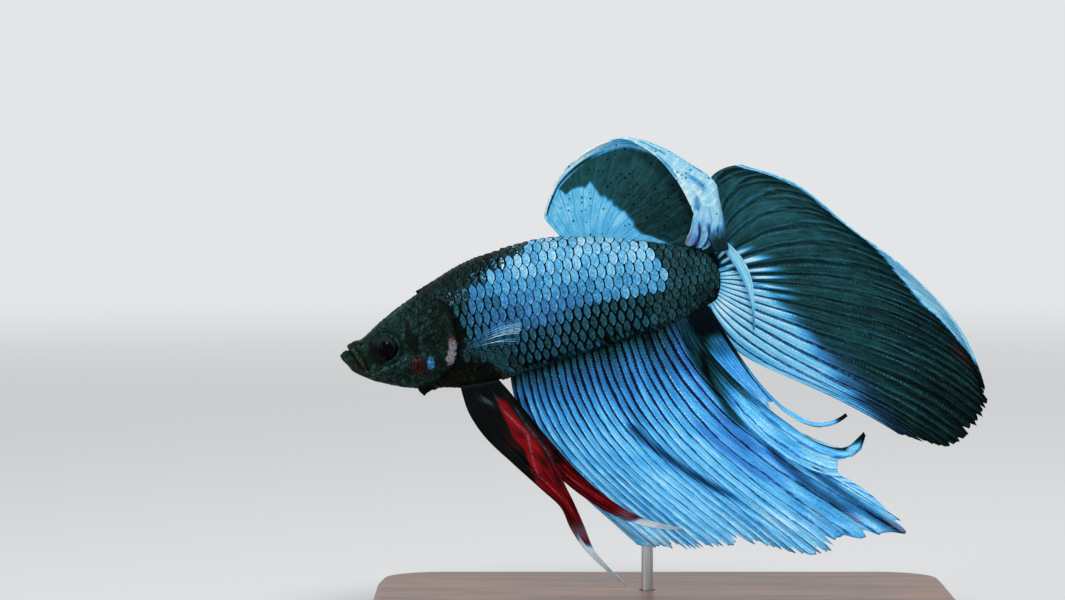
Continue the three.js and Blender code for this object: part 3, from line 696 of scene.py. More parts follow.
class Graph:
    """Adds nodes to one node tree and links them."""

    def __init__(self, tree: NodeTree) -> None:
        """Takes a material's or group's node tree to add to."""
        self.tree = tree

    def link(self, wire: Wire, node: Node, name: str) -> None:
        """Links an output to a node's input of that name."""
        self.tree.links.new(wire.socket, node.inputs[name])

    def add(self, kind: str, settings: dict | None = None, **inputs: object) -> Node:
        """Adds a node.

        Args:
            kind: The node's Blender type.
            settings: Properties of the node itself.
            inputs: Sockets by name, with underscores for spaces, or by place
                as i0, i1 and so on. A wire is linked, another value is set.

        Returns:
            The node.
        """
        node = self.tree.nodes.new(kind)
        for key, value in (settings or {}).items():
            setattr(node, key, value)
        for key, value in inputs.items():
            socket = node.inputs[int(key[1:]) if key[1:].isdigit() else key.replace("_", " ")]
            if isinstance(value, Wire):
                self.tree.links.new(value.socket, socket)
            else:
                socket.default_value = value
        return node

    def read(self, output: str | int, kind: str, settings: dict | None = None, **inputs: object) -> Wire:
        """Adds a node, as add does, and takes one of its outputs by name or place."""
        return Wire(self, self.add(kind, settings, **inputs).outputs[output])

    def group(self, tree: NodeTree, **inputs: object) -> list[Wire]:
        """Adds a group and takes all its outputs in order."""
        return [Wire(self, s) for s in self.add("ShaderNodeGroup", {"node_tree": tree}, **inputs).outputs]

    def math(self, operation: str, *values: object) -> Wire:
        """One step of arithmetic, by Blender's name for it."""
        parts = {f"i{n}": v for n, v in enumerate(values)}
        return self.read(0, "ShaderNodeMath", {"operation": operation}, **parts)

    def mix(self, share: object, first: object, second: object, blend: str = "MIX") -> Wire:
        """Mixes a share of the second colour into the first."""
        settings = {"data_type": "RGBA", "blend_type": blend}
        return self.read(2, "ShaderNodeMix", settings, i0=share, i6=first, i7=second)

    def value(self, mark: Mark) -> Wire:
        """Reads a marking from the mesh."""
        return self.read("Fac", "ShaderNodeAttribute", {"attribute_name": mark.value})

    def place(self) -> Wire:
        """Where on the object a point lies."""
        return self.read("Object", "ShaderNodeTexCoord")

    def noise(self, where: Wire, scale: float, detail: float, rough: float = 0.6) -> Wire:
        """Cloudy noise of about 0.5 with some finer layers and their strength."""
        return self.read("Fac", "ShaderNodeTexNoise", Vector=where, Scale=scale, Detail=detail, Roughness=rough)

    def cells(self, where: Wire, scale: float, loose: float) -> tuple[Wire, Wire]:
        """Scattered cells.

        Args:
            where: The coordinates they are read at.
            scale: How fine they are.
            loose: How irregular they are.

        Returns:
            The distance from a cell's middle, and a number of its own.
        """
        node = self.add("ShaderNodeTexVoronoi", {"feature": "F1"}, Vector=where, Scale=scale, Randomness=loose)
        color = Wire(self, node.outputs["Color"])
        return Wire(self, node.outputs["Distance"]), self.read(0, "ShaderNodeSeparateColor", Color=color)


class Group(Graph):
    """A shader node group that takes numbers."""

    def __init__(self, name: str, inputs: dict[str, float], outputs: dict[str, str]) -> None:
        """Starts the group.

        Args:
            name: The group's name.
            inputs: Socket names with their values at rest.
            outputs: Socket names with their types.
        """
        super().__init__(bpy.data.node_groups.new(name, "ShaderNodeTree"))
        face = self.tree.interface
        for title, value in inputs.items():
            face.new_socket(title, in_out="INPUT", socket_type=FLOAT).default_value = value
        for title, kind in outputs.items():
            face.new_socket(title, in_out="OUTPUT", socket_type=kind)
        self.given = [Wire(self, s) for s in self.add("NodeGroupInput").outputs if s.name]

    def give(self, **results: Wire) -> NodeTree:
        """Links the group's results and hands over its tree."""
        self.add("NodeGroupOutput", **results)
        return self.tree


TONE_STOPS = (
    (0, (1, 3, 4)), (0.12, (6, 16, 17)), (0.25, (14, 44, 49)), (0.38, (34, 80, 89)),
    (0.5, (44, 104, 146)), (0.62, (56, 138, 200)), (0.75, (90, 180, 232)),
    (0.87, (152, 212, 243)), (1, (240, 246, 250)),
)


def make_paint_group() -> NodeTree:
    """The fish's colours: a scale of tones from black through teal and blue to
    bluish white, with violet, red, pink and warm brown laid over it.

    Returns:
        The group.
    """
    g = Group("fish paint", {"Tone": 0.5, "Violet": 0, "Red": 0, "Pink": 0, "Warm": 0}, {"Color": COLOR})
    tone, violet, red, pink, warm = g.given
    ramp = g.add("ShaderNodeValToRGB", Fac=tone)
    stops = ramp.color_ramp.elements
    while len(stops) < len(TONE_STOPS):
        stops.new(0.5)
    for stop, (place, rgb) in zip(stops, TONE_STOPS):
        stop.position, stop.color = place, linear(*rgb)
    light = tone.rise(0.1, 0.8)
    color = Wire(g, ramp.outputs["Color"])
    for share, over in (
        (violet, g.mix(light, linear(24, 36, 84), linear(80, 122, 214))),
        (warm, g.mix(light, linear(20, 22, 12), linear(128, 118, 66))),
        (red, linear(158, 14, 24)),
        (pink, linear(158, 136, 156)),
    ):
        color = g.mix(share, color, over)
    return g.give(Color=color)


# Noises stretched along the rays: how often each changes across a ray and along
# the fin, and how many finer layers it has.
CLOTH = ((0.9, 6, 2), (2, 45, 3), (2, 30, 2), (1, 4, 2), (5, 9, 4), (16, 110, 3))


def make_ray_group() -> NodeTree:
    """The fine drawing of a fin: dark lines along the rays that may fork on
    the way to the margin, a light line beside each, beads near the root,
    streaks and grain in the membrane, and painted shade across each gap
    between rays, lightest just past one ray and darkest before the next,
    for the light on the pleats.

    Returns:
        The group, whose Shade is added to the tone and whose Height is relief.
    """
    g = Group(
        "fin rays",
        {"Across": 0, "Along": 0, "Lines": 0.2, "Beads": 0, "Fork": 0.55, "Width": 0.22,
         "Glint": 0.06, "Wander": 0.3, "Cloth": 1},
        {"Shade": FLOAT, "Height": FLOAT, "Line": FLOAT},
    )
    plain, along, lines, beads, fork, width, glints, wander, strength = g.given

    sway, breaking, phasing, swelling, streak, grain = (
        g.noise(g.read(0, "ShaderNodeCombineXYZ", X=plain * often_across, Y=along * often_along), 1, detail)
        for often_across, often_along, detail in CLOTH)
    across = plain + (sway - 0.5) * wander
    from_middle = (g.math("FRACT", across) - 0.5) * 2
    spread = along.rise(fork - 0.2, fork + 0.3) * 0.5
    left, right = from_middle + spread, from_middle - spread
    near = g.math("MINIMUM", abs(left), abs(right))
    phase = phasing * 12 + along * 500
    wave = g.math("SINE", g.math("FLOOR", plain) * 2.4 + phase)
    swell = swelling * 0.9 + 0.5
    wide = width * (beads * 1.3 + swell) * (wave * beads * 0.3 + 1)
    line = 1 - near.rise(wide * 0.45, wide)
    beside = g.math("MINIMUM", abs(left + 0.34), abs(right + 0.34))
    glint = (1 - beside.rise(0.02, 0.22)) * glints
    fade = along.rise(0, 0.7, 0.85)
    breaks = breaking.rise(0.36, 0.56)
    dark = line * (breaks * fade + (1 - fade)) * lines
    off = abs(left - (width * 0.9 + 0.16))
    bead = (1 - off.rise(0.04, 0.2)) * wave.rise(-0.1, 0.7) * breaks * beads
    # Painted shade across the gap between rays, light just past one ray and dark before the next, standing in for the
    # light on the pleats.
    slope = 0.5 - g.math("FRACT", across - 0.5)
    weave = (grain - 0.5) * 0.3 + (streak - 0.5) * 0.34
    shade = weave * strength - dark + slope * (lines * 0.16)
    shade += glint * (wave.rise(-0.6, 0.6) * 0.6 + 0.6) + bead * 0.65
    return g.give(Shade=shade, Height=grain * 0.15 + (streak * 0.25 + line * -0.5), Line=line)


def make_scale_group() -> NodeTree:
    """One scale's face: a dark line round its free edge, painted shade on
    its front and corners where it passes under its neighbours, a light rim
    inside them, and a cloudy middle.

    Returns:
        The group, whose Shade is added to the tone.
    """
    g = Group(
        "scale face",
        {"Across": 0, "Along": 0, "Cloud": 0.5, "Fine": 0.5, "Edge": 0.5, "Wide": 0},
        {"Shade": FLOAT, "Rim": FLOAT},
    )
    across, along, cloud, fine, edge, wide = g.given
    side = abs(across * 2 - 1)
    back, flank = wide * -0.05 + 0.9, wide * -0.08 + 0.87
    waver = (cloud - 0.5) * 0.08
    along += waver
    rim_back = along.rise(back, back + 0.03)
    rim_side = (side + waver).rise(flank, flank + 0.07)
    # Painted shade on the scale's front and corners, where it passes under its neighbours; the rim carries it together
    # with the dark edge line.
    corner = side * side * (wide * 0.38 + 0.16) + (wide * 0.1 + 0.24)
    tucked_shade = 1 - (along - corner).rise(0, 0.06)
    rim = g.math("MAXIMUM", g.math("MAXIMUM", rim_back, rim_side), tucked_shade)
    inner = along.rise(back - 0.16, back - 0.04) * (1 - rim)
    low = across.rise(0.75, 0.2)
    sparkle = fine.rise(0.56, 0.66) * (inner * low)
    shade = inner * (low * 0.06 + 0.02) - rim * edge + sparkle * (wide * 0.25 + 0.08)
    shade += (cloud - 0.5) * 0.62 + (fine - 0.5) * (rim * -0.3 + 0.5)
    return g.give(Shade=shade, Rim=rim)


@dataclass(frozen=True)
class Finish:
    """How a surface takes the light."""

    slot: str
    roughness: float
    metallic: float = 0.0
    specular: float = 0.5
    coat: float = 0.0
    bump: float = 0.3
    tint: tuple[float, float, float, float] = (1.0, 1.0, 1.0, 1.0)
    glint: float = 0.06
    wander: float = 0.3
    cloth: float = 1.0


HEAD_SKIN = Finish("head_skin", 0.42, specular=0.035, bump=0.7, tint=(0.9, 1.2, 1.04, 1))
FLANK_SCALES = Finish("flank_scales", 0.42, metallic=0.08, specular=0.03, bump=0.2, tint=(1, 0.985, 0.93, 1))
DORSAL_WEB = Finish("dorsal_membrane", 0.5, specular=0.025, bump=0.35, tint=(1, 1.04, 0.95, 1),
                    glint=0.05, wander=0.16, cloth=0.8)
CAUDAL_WEB = Finish("caudal_membrane", 0.5, specular=0.025, bump=0.35, tint=(0.97, 1.06, 1, 1), glint=0.09)
ANAL_WEB = Finish("anal_membrane", 0.5, specular=0.025, bump=0.4, tint=(0.86, 1.15, 1.21, 1), wander=0.6, cloth=1.7)
PELVIC_WEB = Finish("pelvic_membrane", 0.3, specular=0.045, bump=0.5)
PECTORAL_WEB = Finish("pectoral_membrane", 0.4, specular=0.05, glint=0, wander=0.12)
EYE_GLASS = Finish("eye", 0.06, specular=0.035)
WALNUT = Finish("stand_wood", 0.42, coat=0.15, bump=0.2)
STEEL = Finish("stand_steel", 0.3, metallic=1)
PALE_FLOOR = Finish("floor", 0.9, specular=0.1)


class Look(Graph):
    """A material in the making, its constants set on its main shader."""

    def __init__(self, name: str, finish: Finish) -> None:
        """Starts the material.

        Args:
            name: The material's name.
            finish: How it takes the light.
        """
        self.material = bpy.data.materials.new(name)
        self.material.use_nodes = True
        super().__init__(self.material.node_tree)
        self.finish = finish
        self.shader = self.tree.nodes["Principled BSDF"]
        for title, value in (
            ("Roughness", finish.roughness), ("Metallic", finish.metallic), ("Specular IOR Level", finish.specular),
            ("Coat Weight", finish.coat), ("Coat Roughness", 0.2),
        ):
            self.shader.inputs[title].default_value = value

    def local(self) -> list[Wire]:
        """A point's place on its own ray or scale: across it, then along it."""
        uv = self.read(0, "ShaderNodeUVMap", {"uv_map": "local"})
        return [Wire(self, s) for s in self.add("ShaderNodeSeparateXYZ", Vector=uv).outputs[:2]]

    def stretched(self, x: float, y: float, z: float) -> Wire:
        """Coordinates with a scale of their own along each axis."""
        return self.read(0, "ShaderNodeMapping", Vector=self.place(), Scale=(x, y, z))

    def done(self, color: Wire, height: Wire | None = None, depth: float = 0.1, **others: Wire) -> Material:
        """Links the results to the main shader.

        Args:
            color: The base colour.
            height: The relief, if there is one.
            depth: How deep the relief is, in millimetres.
            others: Other sockets of the shader by name.

        Returns:
            The material.
        """
        if height is not None:
            others["Normal"] = self.read(
                "Normal", "ShaderNodeBump", Height=height, Strength=self.finish.bump, Distance=depth * MM)
        for title, wire in {"Base Color": color, **others}.items():
            self.link(wire, self.shader, title)
        return self.material


class Studio:
    """Keeps the shared groups and makes the materials."""

    def __init__(self) -> None:
        """Makes the groups that several materials share."""
        self.paint = make_paint_group()
        self.rays = make_ray_group()
        self.scale = make_scale_group()

    def painted(self, g: Look, tone: Wire, violet: Wire, *marks: Mark) -> Wire:
        """Turns a tone into the fish's own colour.

        Args:
            g: The material.
            tone: The tone.
            violet: How violet it is.
            marks: Which of the other marks the mesh carries.

        Returns:
            The colour.
        """
        extra = {m.value.capitalize(): g.value(m) for m in marks}
        [color] = g.group(self.paint, Tone=tone, Violet=violet, **extra)
        return g.mix(1, color, g.finish.tint, "MULTIPLY")

    def fin_material(self, fin: "Fin") -> Material:
        """Paint for a fin's web and rays.

        Args:
            fin: The fin.

        Returns:
            The material.
        """
        g = Look(fin.name.replace("_", " "), fin.finish)
        across, along = g.local()
        tone, lines = g.value(Mark.TONE), g.value(Mark.LINES)
        shade, height, line = g.group(
            self.rays, Across=across, Along=along, Lines=lines, Beads=g.value(Mark.BEADS), Fork=fin.fork,
            Width=fin.line_width, Glint=fin.finish.glint, Wander=fin.finish.wander, Cloth=fin.finish.cloth)
        navy = line * (lines.rise(0.05, 0.3) * tone.rise(0.5, 0.7, 0.4))
        place = g.place()
        tone += shade + (g.noise(place, 700, 4) - 0.5) * 0.12
        if fin.speckle > 0:
            distance, own = g.cells(place, 2100, 1)
            size = own.rise(0.3, 1) * 0.27
            dot = (1 - (distance - size).rise(-0.04, 0.05)) * size.rise(0.02, 0.06)
            tone += dot * -fin.speckle
        color = self.painted(g, tone, g.value(Mark.VIOLET) + navy, Mark.RED, Mark.PINK, Mark.WARM)
        clear = {}
        if fin.cover is not None:
            web, ray = fin.cover
            clear["Alpha"] = line * (ray - web) + web
        return g.done(color, height, 0.12, **clear)

    def skin_material(self) -> Material:
        """Paint for the bare skin: mottled, with fine grain.

        Returns:
            The material.
        """
        g = Look("bare skin", HEAD_SKIN)
        place, tone_in = g.place(), g.value(Mark.TONE)
        coarse, fine = g.noise(place, 1300, 4, 0.65), g.noise(place, 5200, 3)
        swirl = g.read("Color", "ShaderNodeTexNoise", Vector=place, Scale=1800)
        bend = {"operation": "MULTIPLY_ADD"}
        bent = g.read(0, "ShaderNodeVectorMath", bend, i0=swirl, i1=(0.4 * MM,) * 3, i2=place)
        _, own = g.cells(bent, 1500, 0.8)
        edge = g.read("Distance", "ShaderNodeTexVoronoi", {"feature": "DISTANCE_TO_EDGE"},
                      Vector=bent, Scale=1500, Randomness=0.8)
        seam = 1 - edge.rise(0, 0.16)
        tone = tone_in + (coarse - 0.5) * 0.42 + (fine - 0.5) * 0.18
        tone += (own - 0.5) * (tone_in * 0.2) + seam * (tone_in * -0.3)
        color = self.painted(g, tone, g.value(Mark.VIOLET), Mark.RED, Mark.PINK, Mark.WARM)
        return g.done(color, coarse * 0.8 + seam * -0.45, 0.1, Roughness=coarse * 0.25 + 0.36)

    def scale_material(self) -> Material:
        """Paint for the scales.

        Returns:
            The material.
        """
        g = Look("scales", FLANK_SCALES)
        across, along = g.local()
        place, tone_in = g.place(), g.value(Mark.TONE)
        cloud, fine = g.noise(place, 3000, 4, 0.7), g.noise(place, 9500, 2)
        edge = tone_in * (tone_in.rise(0.2, 0.42, 0.45) + 0.48)
        wide = (1 - tone_in.rise(0.36, 0.62)) * (1 - g.value(Mark.WARM).rise(0.01, 0.04, 0.7))
        shade, rim = g.group(self.scale, Across=across, Along=along, Cloud=cloud, Fine=fine, Edge=edge, Wide=wide)
        tone = tone_in + shade
        spark = g.noise(place, 3400, 2).rise(0.55, 0.6) * g.value(Mark.FLECK) * (1 - rim)
        tone = g.math("MAXIMUM", tone, spark * 0.8 + tone * 0.35)
        mauve = g.noise(place, 1900, 2).rise(0.48, 0.66)
        color = self.painted(g, tone, g.value(Mark.VIOLET) * (mauve * 1.5 + 0.4), Mark.WARM)
        return g.done(color, cloud * 0.5 - rim, 0.06, Roughness=cloud * 0.3 + 0.36)

    def eye_material(self) -> Material:
        """Paint for the eyeball: a black pupil, a near-black iris with red flecks
        and a grey-teal arc over its upper part that is a painted reflection,
        and a dark rim.

        Returns:
            The material.
        """
        g = Look("eyeball", EYE_GLASS)
        turn, from_middle = g.local()
        fleck = g.noise(g.place(), 2600, 4, 0.7)
        # The grey-teal arc over the upper iris is a painted reflection.
        up = g.math("SINE", turn * TURN + 0.25)
        iris = g.mix(up.rise(-0.1, 0.95), linear(4, 6, 7), linear(25, 43, 46))
        iris = g.mix(fleck.rise(0.6, 0.68) * up.rise(0.3, -0.5), iris, linear(112, 18, 34))
        color = g.mix(from_middle.rise(0.5, 0.62), linear(1, 1, 2), iris)
        return g.done(g.mix(from_middle.rise(0.86, 0.96), color, linear(5, 9, 10)))

    def wood_material(self) -> Material:
        """Oiled walnut for the base.

        Returns:
            The material.
        """
        g = Look("walnut", WALNUT)
        rings = g.noise(g.stretched(60, 420, 420), 1, 5)
        fine = g.noise(g.stretched(260, 4200, 4200), 1, 3)
        color = g.mix(rings.rise(0.3, 0.7), linear(74, 44, 28), linear(128, 82, 52))
        return g.done(g.mix(fine.rise(0.55, 0.75, 0.5), color, linear(44, 26, 17)), fine)

    def steel_material(self) -> Material:
        """Brushed stainless steel for the rod.

        Returns:
            The material.
        """
        g = Look("brushed steel", STEEL)
        brush = g.noise(g.stretched(9000, 9000, 300), 1, 3)
        color = g.mix(brush, linear(150, 152, 156), linear(208, 210, 214))
        return g.done(color, Roughness=brush * 0.2 + 0.22)


# ---- the skin
# The margin of the baking map and the part that is filled, and how light the
# skin under the scales is beside them.
MAP_EDGE, MAP_PART = 0.01, 0.98
UNDER_SCALES = 0.45
SNOUT_BUMP = Patch(1.2, 1, 0.7, 0.8, 0.2)


@dataclass(frozen=True)
class BodySkin:
    """One unbroken skin from the lips to the tail root, a little inside the
    outer surface, with the face modelled in relief."""

    around: int = 256
    inset: float = 0.12
    head_step: float = 0.08
    head_end: float = 13.6
    body_step: float = 0.3

    def relief(self, s: Array, h: Array, turn: Array) -> Array:
        """How far the skin rises over its plain form.

        The mouth is a groove between two lips, the upper jaw bone and the
        cheek bone are low edges, the eye sits in a socket with a soft rim, the
        nostril is a small pit, and the gill cover ends in a free edge with a
        hollow behind it.

        Args:
            s: Distance from the snout.
            h: Height over the axis.
            turn: Turn round the body.

        Returns:
            The rise, in millimetres.
        """
        mouth = line_distance(s, h, MOUTH)[0]
        lift = (0.15 * hump(mouth - 0.34, 0.2) - 0.3 * hump(mouth, 0.1)) * fall(-h, 1.5, 2.1)
        bone, rear = line_distance(s, h, UPPER_JAW_BONE)
        fade = rise(s, 1, 1.5) * fall(-h, 1.9, 2.5)
        lift = lift - 0.12 * hump(bone, 0.1) * fade + 0.07 * rise(-rear, 0, 0.15) * fall(-rear, 0.3, 0.7) * fade
        eye = np.hypot(s - EYE_S, h - EYE_H)
        side = np.abs(np.sin(turn)) > 0.3
        socket = 0.08 * hump(eye - 1.5, 0.18) - 0.06 * hump(eye - 1.82, 0.14) - 0.6 * fall(eye, 1.22, 1.36)
        lift += np.where(side, socket, 0) + SNOUT_BUMP.adds(s, h)
        lift += 0.24 * rise(-np.cos(turn), 0, 0.9) * rise(s, 0.1, 0.9) * fall(s, 2.4, 4.6)
        pit = np.hypot(s - NOSTRIL[0], h - NOSTRIL[1])
        lift = lift - 0.16 * hump(pit, 0.12) + 0.06 * hump(pit - 0.24, 0.09)
        cheek, behind = line_distance(s, h, CHEEK_BONE)
        lift += 0.07 * rise(behind, -0.5, -0.02) * fall(behind, -0.02, 0.12) * (s < 10) * (s > 5.5)
        lift -= 0.06 * hump(cheek - 0.08, 0.12)
        lift -= 0.05 * hump(line_distance(s, h, EYE_TO_GILL)[0], 0.16)
        lift += 0.05 * hump(line_distance(s, h, LOWER_CHEEK)[0], 0.3)
        past = line_distance(s, h, GILL_EDGE)[1]
        cover = rise(past, -2.2, -0.1) * fall(past, -0.02, 0.1)
        lift += (0.26 * cover - 0.14 * hump(past - 0.28, 0.26)) * rise(s, 6.8, 8.6) * fall(h, 3.2, 4.4)
        lift += 0.035 * ripple(s, h, 14, 0.62) * fall(s, 12.5, 14) * rise(s, 2, 3.5) * rise(eye, 1.8, 2.2)
        flap = np.interp(s, [7.3, 7.6, 7.95, 8.15, 8.5, 9.2], [0, 0.45, 0.95, 0.8, 0.5, 0])
        return lift + flap * fall(np.abs(turn - math.pi), 0.12, 0.3)

    def build(self, studio: Studio) -> Object:
        """Makes the skin.

        Its surface is a function of s and the turn round the body: the body's
        own form, set in by the coat's depth, raised along its normal by the
        relief. Both ends close on a point.

        Args:
            studio: Where materials come from.

        Returns:
            The skin.
        """
        s_list = np.concatenate([
            [-0.36, -0.33, -0.28, -0.22, -0.15],
            np.arange(-0.08, self.head_end, self.head_step),
            np.arange(self.head_end, END_FROM, self.body_step),
            END_FROM + (END_AT - END_FROM) * np.sin(np.linspace(0, 1.5, 12)),
        ])
        turns = (np.arange(self.around) + 0.5) / self.around * TURN
        s, turn = np.meshgrid(s_list, turns, indexing="ij")
        points, h = body_point(s, turn, self.inset * rise(s, -0.3, 1))
        around = (np.roll(points, -1, axis=1) - np.roll(points, 1, axis=1)) / 2
        normal = unit(np.cross(around, np.gradient(points, axis=0)))
        centre = points.mean(axis=1, keepdims=True)
        if np.mean(np.sum(normal * (points - centre), -1)) < 0:
            normal = -normal
        lift = self.relief(s, h, turn) * rise(s, -0.36, 0.15)
        points += normal * lift[..., None]
        rows, n = s.shape
        ends = np.stack([points[0].mean(0), points[-1].mean(0)])
        marks = head_marks(s, h)
        over = rise(s, 13.2, 15)
        marks[Mark.TONE] = marks[Mark.TONE] * (1 - over) + body_tone(s, h) * UNDER_SCALES * over
        values = {m: np.concatenate([v.ravel(), [v.ravel()[0], 0.1]]) for m, v in marks.items()}
        faces = [grid_quads(rows, n, wrap=True), end_fans(rows, n)]
        data = MeshData(np.concatenate([points.reshape(-1, 3), ends]), faces, self.bake_map(s_list, n), None, values)
        obj = data.turned_out().build("skin", studio.skin_material())
        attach(obj, "root")
        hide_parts("head", "lower_jaw", "gill_cover_left", "gill_cover_right", "gill_beard",
                    "trunk", "tail_stalk")
        return obj

    def bake_map(self, s_list: Array, n: int) -> Array:
        """Lays the skin out flat: along the body, then round it.

        Args:
            s_list: Each row's place along the body.
            n: How many points there are in a row.

        Returns:
            A place on the map for each corner of each face.
        """
        along = (s_list - s_list[0]) / (s_list[-1] - s_list[0])
        i, j = (v.ravel() for v in np.meshgrid(np.arange(len(s_list) - 1), np.arange(n), indexing="ij"))
        corners = ((i, j), (i + 1, j), (i + 1, j + 1), (i, j + 1))
        parts = [np.stack([np.stack([MAP_EDGE + MAP_PART * along[x], MAP_EDGE + MAP_PART * y / n], -1)
                           for x, y in corners], 1)]
        j = np.arange(n)
        for end, first, second in ((0, j, j + 1), (1, j + 1, j)):
            side = MAP_EDGE + MAP_PART * end
            point = side + MAP_EDGE * (end - 0.5)
            fan = ((point, j + 0.5), (side, first), (side, second))
            parts.append(np.stack([np.stack([np.full(n, x), y / n], -1) for x, y in fan], 1))
        return np.concatenate([p.reshape(-1, 2) for p in parts])


# ---- the scales
@dataclass(frozen=True)
class ScaleCoat:
    """The coat of scales on one side: rows along the body, every other row
    half a step on, each scale lying over the one behind it."""

    side: Side
    across: int = 7
    first: float = 6.6
    last: float = 41.9
    rows_each_way: int = 9
    belly_from: float = 17.0
    belly_gap: float = 0.56
    belly_pitch: float = 0.72

    def spacing(self, s: Array) -> Array:
        """Distance from one scale to the next in a row at s."""
        return np.interp(s, [7, 12, 15, 20, 30, 34, 38, 41.5], [0.72, 0.84, 0.88, 0.93, 1.02, 1.02, 0.9, 0.62])

    def pitch(self, s: Array) -> Array:
        """Distance from one row to the next at s."""
        return np.interp(s, [7, 12, 16, 20, 30, 36, 41.5], [0.95, 1.28, 1.48, 1.42, 1.36, 1.18, 0.9])

    def roots(self, flank: Flank) -> dict[str, Array]:
        """Places every scale.

        Args:
            flank: The map of the side.

        Returns:
            For each scale its s, distance up, spacing and pitch.
        """
        stations = [self.first]
        while stations[-1] < self.last:
            stations.append(stations[-1] + float(self.spacing(np.array(stations[-1]))) / 2)
        rows = []
        for row in range(-self.rows_each_way, self.rows_each_way + 1):
            s = np.array(stations[(row % 2)::2])
            rows.append([s, row * self.pitch(s), self.spacing(s), self.pitch(s), np.full_like(s, 1.35)])
        for row in range(3):
            s = np.arange(self.belly_from + self.belly_gap / 2 * (row % 2), self.last - 0.4, self.belly_gap)
            up = np.interp(s, flank.stations, flank.belly) + 0.2 + 0.5 * row
            rows.append([s, up] + [np.full_like(s, x) for x in (self.belly_gap, self.belly_pitch, 0.1)])
        s, up, _, _, least = found = np.concatenate(rows, axis=1)
        turn = flank.turn(s, up)
        _, h = body_point(s, self.side.value * turn)
        past = line_distance(s, h, GILL_EDGE)[1]
        over_belly = up - np.interp(s, flank.stations, flank.belly)
        crown = np.interp(s, [6.5, 8.5, 10.5, 12], [2.3, 1.9, 2.3, 3.3])
        nape = h > crown + 0.5 * ripple(s, h, 19, 1.4)
        keep = (turn > 0.05 + 0.6 * fall(s, 7.6, 9.6)) & (over_belly > np.where(s > 16.5, least, 0.75))
        behind = past > np.interp(h, [-4.6, -3.6, -1, 0.6], [0.5, 0.95, 0.95, 0.35])
        keep &= np.where(s < 12.9, nape | behind, behind)
        return dict(zip(("s", "up", "gap", "pitch"), found[:, keep]))

    def build(self, flank: Flank, studio: Studio) -> Object:
        """Makes the coat.

        Each scale is a small grid over a and b: a goes up the flank from -1 to
        1, and b goes back from the hidden front edge at 0 to the free edge at
        1, which bulges back in a round arc. The grid rises from the skin at
        the front to the free edge, domes a little, and turns down at the end.

        Args:
            flank: The map of the side.
            studio: Where materials come from.

        Returns:
            The coat.
        """
        rng = np.random.default_rng(SEED + self.side.value)
        root = self.roots(flank)
        count = len(root["s"])
        a = np.linspace(-1, 1, self.across)
        b = np.array([0, 0.35, 0.66, 0.86, 0.965, 1, 1])
        grid_b, grid_a = np.meshgrid(b, a, indexing="ij")
        lip = np.zeros_like(grid_b)
        lip[-1] = 1
        start, row_up, gap, pitch = (root[key][:, None, None] for key in ("s", "up", "gap", "pitch"))
        low = (0.3 + 0.7 * rise(start, 10, 17)) * np.clip(pitch, 0.6, 1)
        point = rise(25 - start, 0, 9)
        back = gap * (0.64 + 0.08 * point) * (1 - np.abs(grid_a) ** (2.1 - 0.4 * point)) ** (0.8 + 0.15 * point)
        front = -gap * 0.78 * (1 - 0.3 * grid_a ** 2)
        x = front + (back - front) * grid_b
        y = grid_a * 0.72 * pitch
        jitter = rng.normal(0, 0.03, (count, 1, 1))
        z = (-0.05 + 0.1 * grid_b - 0.02 * grid_a ** 2 - 0.1 * lip) * low - 0.02 + jitter * 0.5 * grid_b
        z -= (0.07 + 0.12 * (1 - grid_b)) * fall(start, 9, 12.5)
        s = start + x + jitter
        drift = np.where(pitch > 0.8, self.pitch(s) / pitch, 1)
        up = row_up * drift + y
        points = flank.place(s, up, z, self.side)
        s_root = root["s"]
        turn = flank.turn(s_root, root["up"])
        _, h_root = body_point(s_root, self.side.value * turn)
        tone = body_tone(s_root, h_root) + rng.normal(0, 0.03, count)
        tone += 0.03 * ripple(s_root, h_root, 21, 5) * (tone > 0.4)
        small = root["pitch"] < 0.8
        tone += small * rng.normal(-0.06, 0.07, count)
        ahead = s_root - bent_line(h_root, BRIGHT_FROM)
        fleck = hump(ahead + 0.8, 1.8) * rise(h_root, 2.2, 4.2) * rng.uniform(0.3, 1.3, count)
        fleck = np.clip(fleck + 0.06 * rise(tone, 0.5, 0.7), 0, 1)
        violet = (0.3 * hump(h_root - np.interp(s_root, [12, 20, 30], [1.4, 0.4, 0]), 2.2) * fall(s_root, 22, 30)
                  * rise(tone, 0.4, 0.6))
        violet += 0.05 * np.clip(rng.normal(0, 1, count), 0, 2) * rise(tone, 0.4, 0.6)
        warm = rise(-h_root, 4, 5.4) * fall(s_root, 15, 19) * 0.5
        tone -= 0.14 * rise(-h_root, 2.6, 4.4) * fall(s_root, 15, 18)
        end = bent_line(h_root, BRIGHT_TO)
        warm += 0.06 * rise(s_root - end, 0, 1.5) + 0.17 * (s_root < 22) * (tone < 0.32)
        per_point = self.across * len(b)
        cells = grid_quads(len(b), self.across)
        quads = (cells[None] + (np.arange(count) * per_point)[:, None, None]).reshape(-1, 4)
        local = np.stack([(grid_a + 1) / 2, grid_b], -1).reshape(-1, 2)
        local_all = np.tile(local, (count, 1))
        share = np.stack([(s_root + 0.36) / (END_AT + 0.36), self.side.value * turn % TURN / TURN], -1)
        centre = MAP_EDGE + MAP_PART * share
        bake = (centre[:, None, :] + (local[None] - 0.5) * 0.003).reshape(-1, 2)
        marks = {Mark.TONE: np.clip(tone, 0.05, 0.97), Mark.VIOLET: np.clip(violet, 0, 1), Mark.WARM: warm,
                 Mark.FLECK: fleck}
        values = {mark: np.repeat(value, per_point) for mark, value in marks.items()}
        if self.side is Side.LEFT:
            quads = quads[:, ::-1]
        name = f"scales_{self.side.name.lower()}"
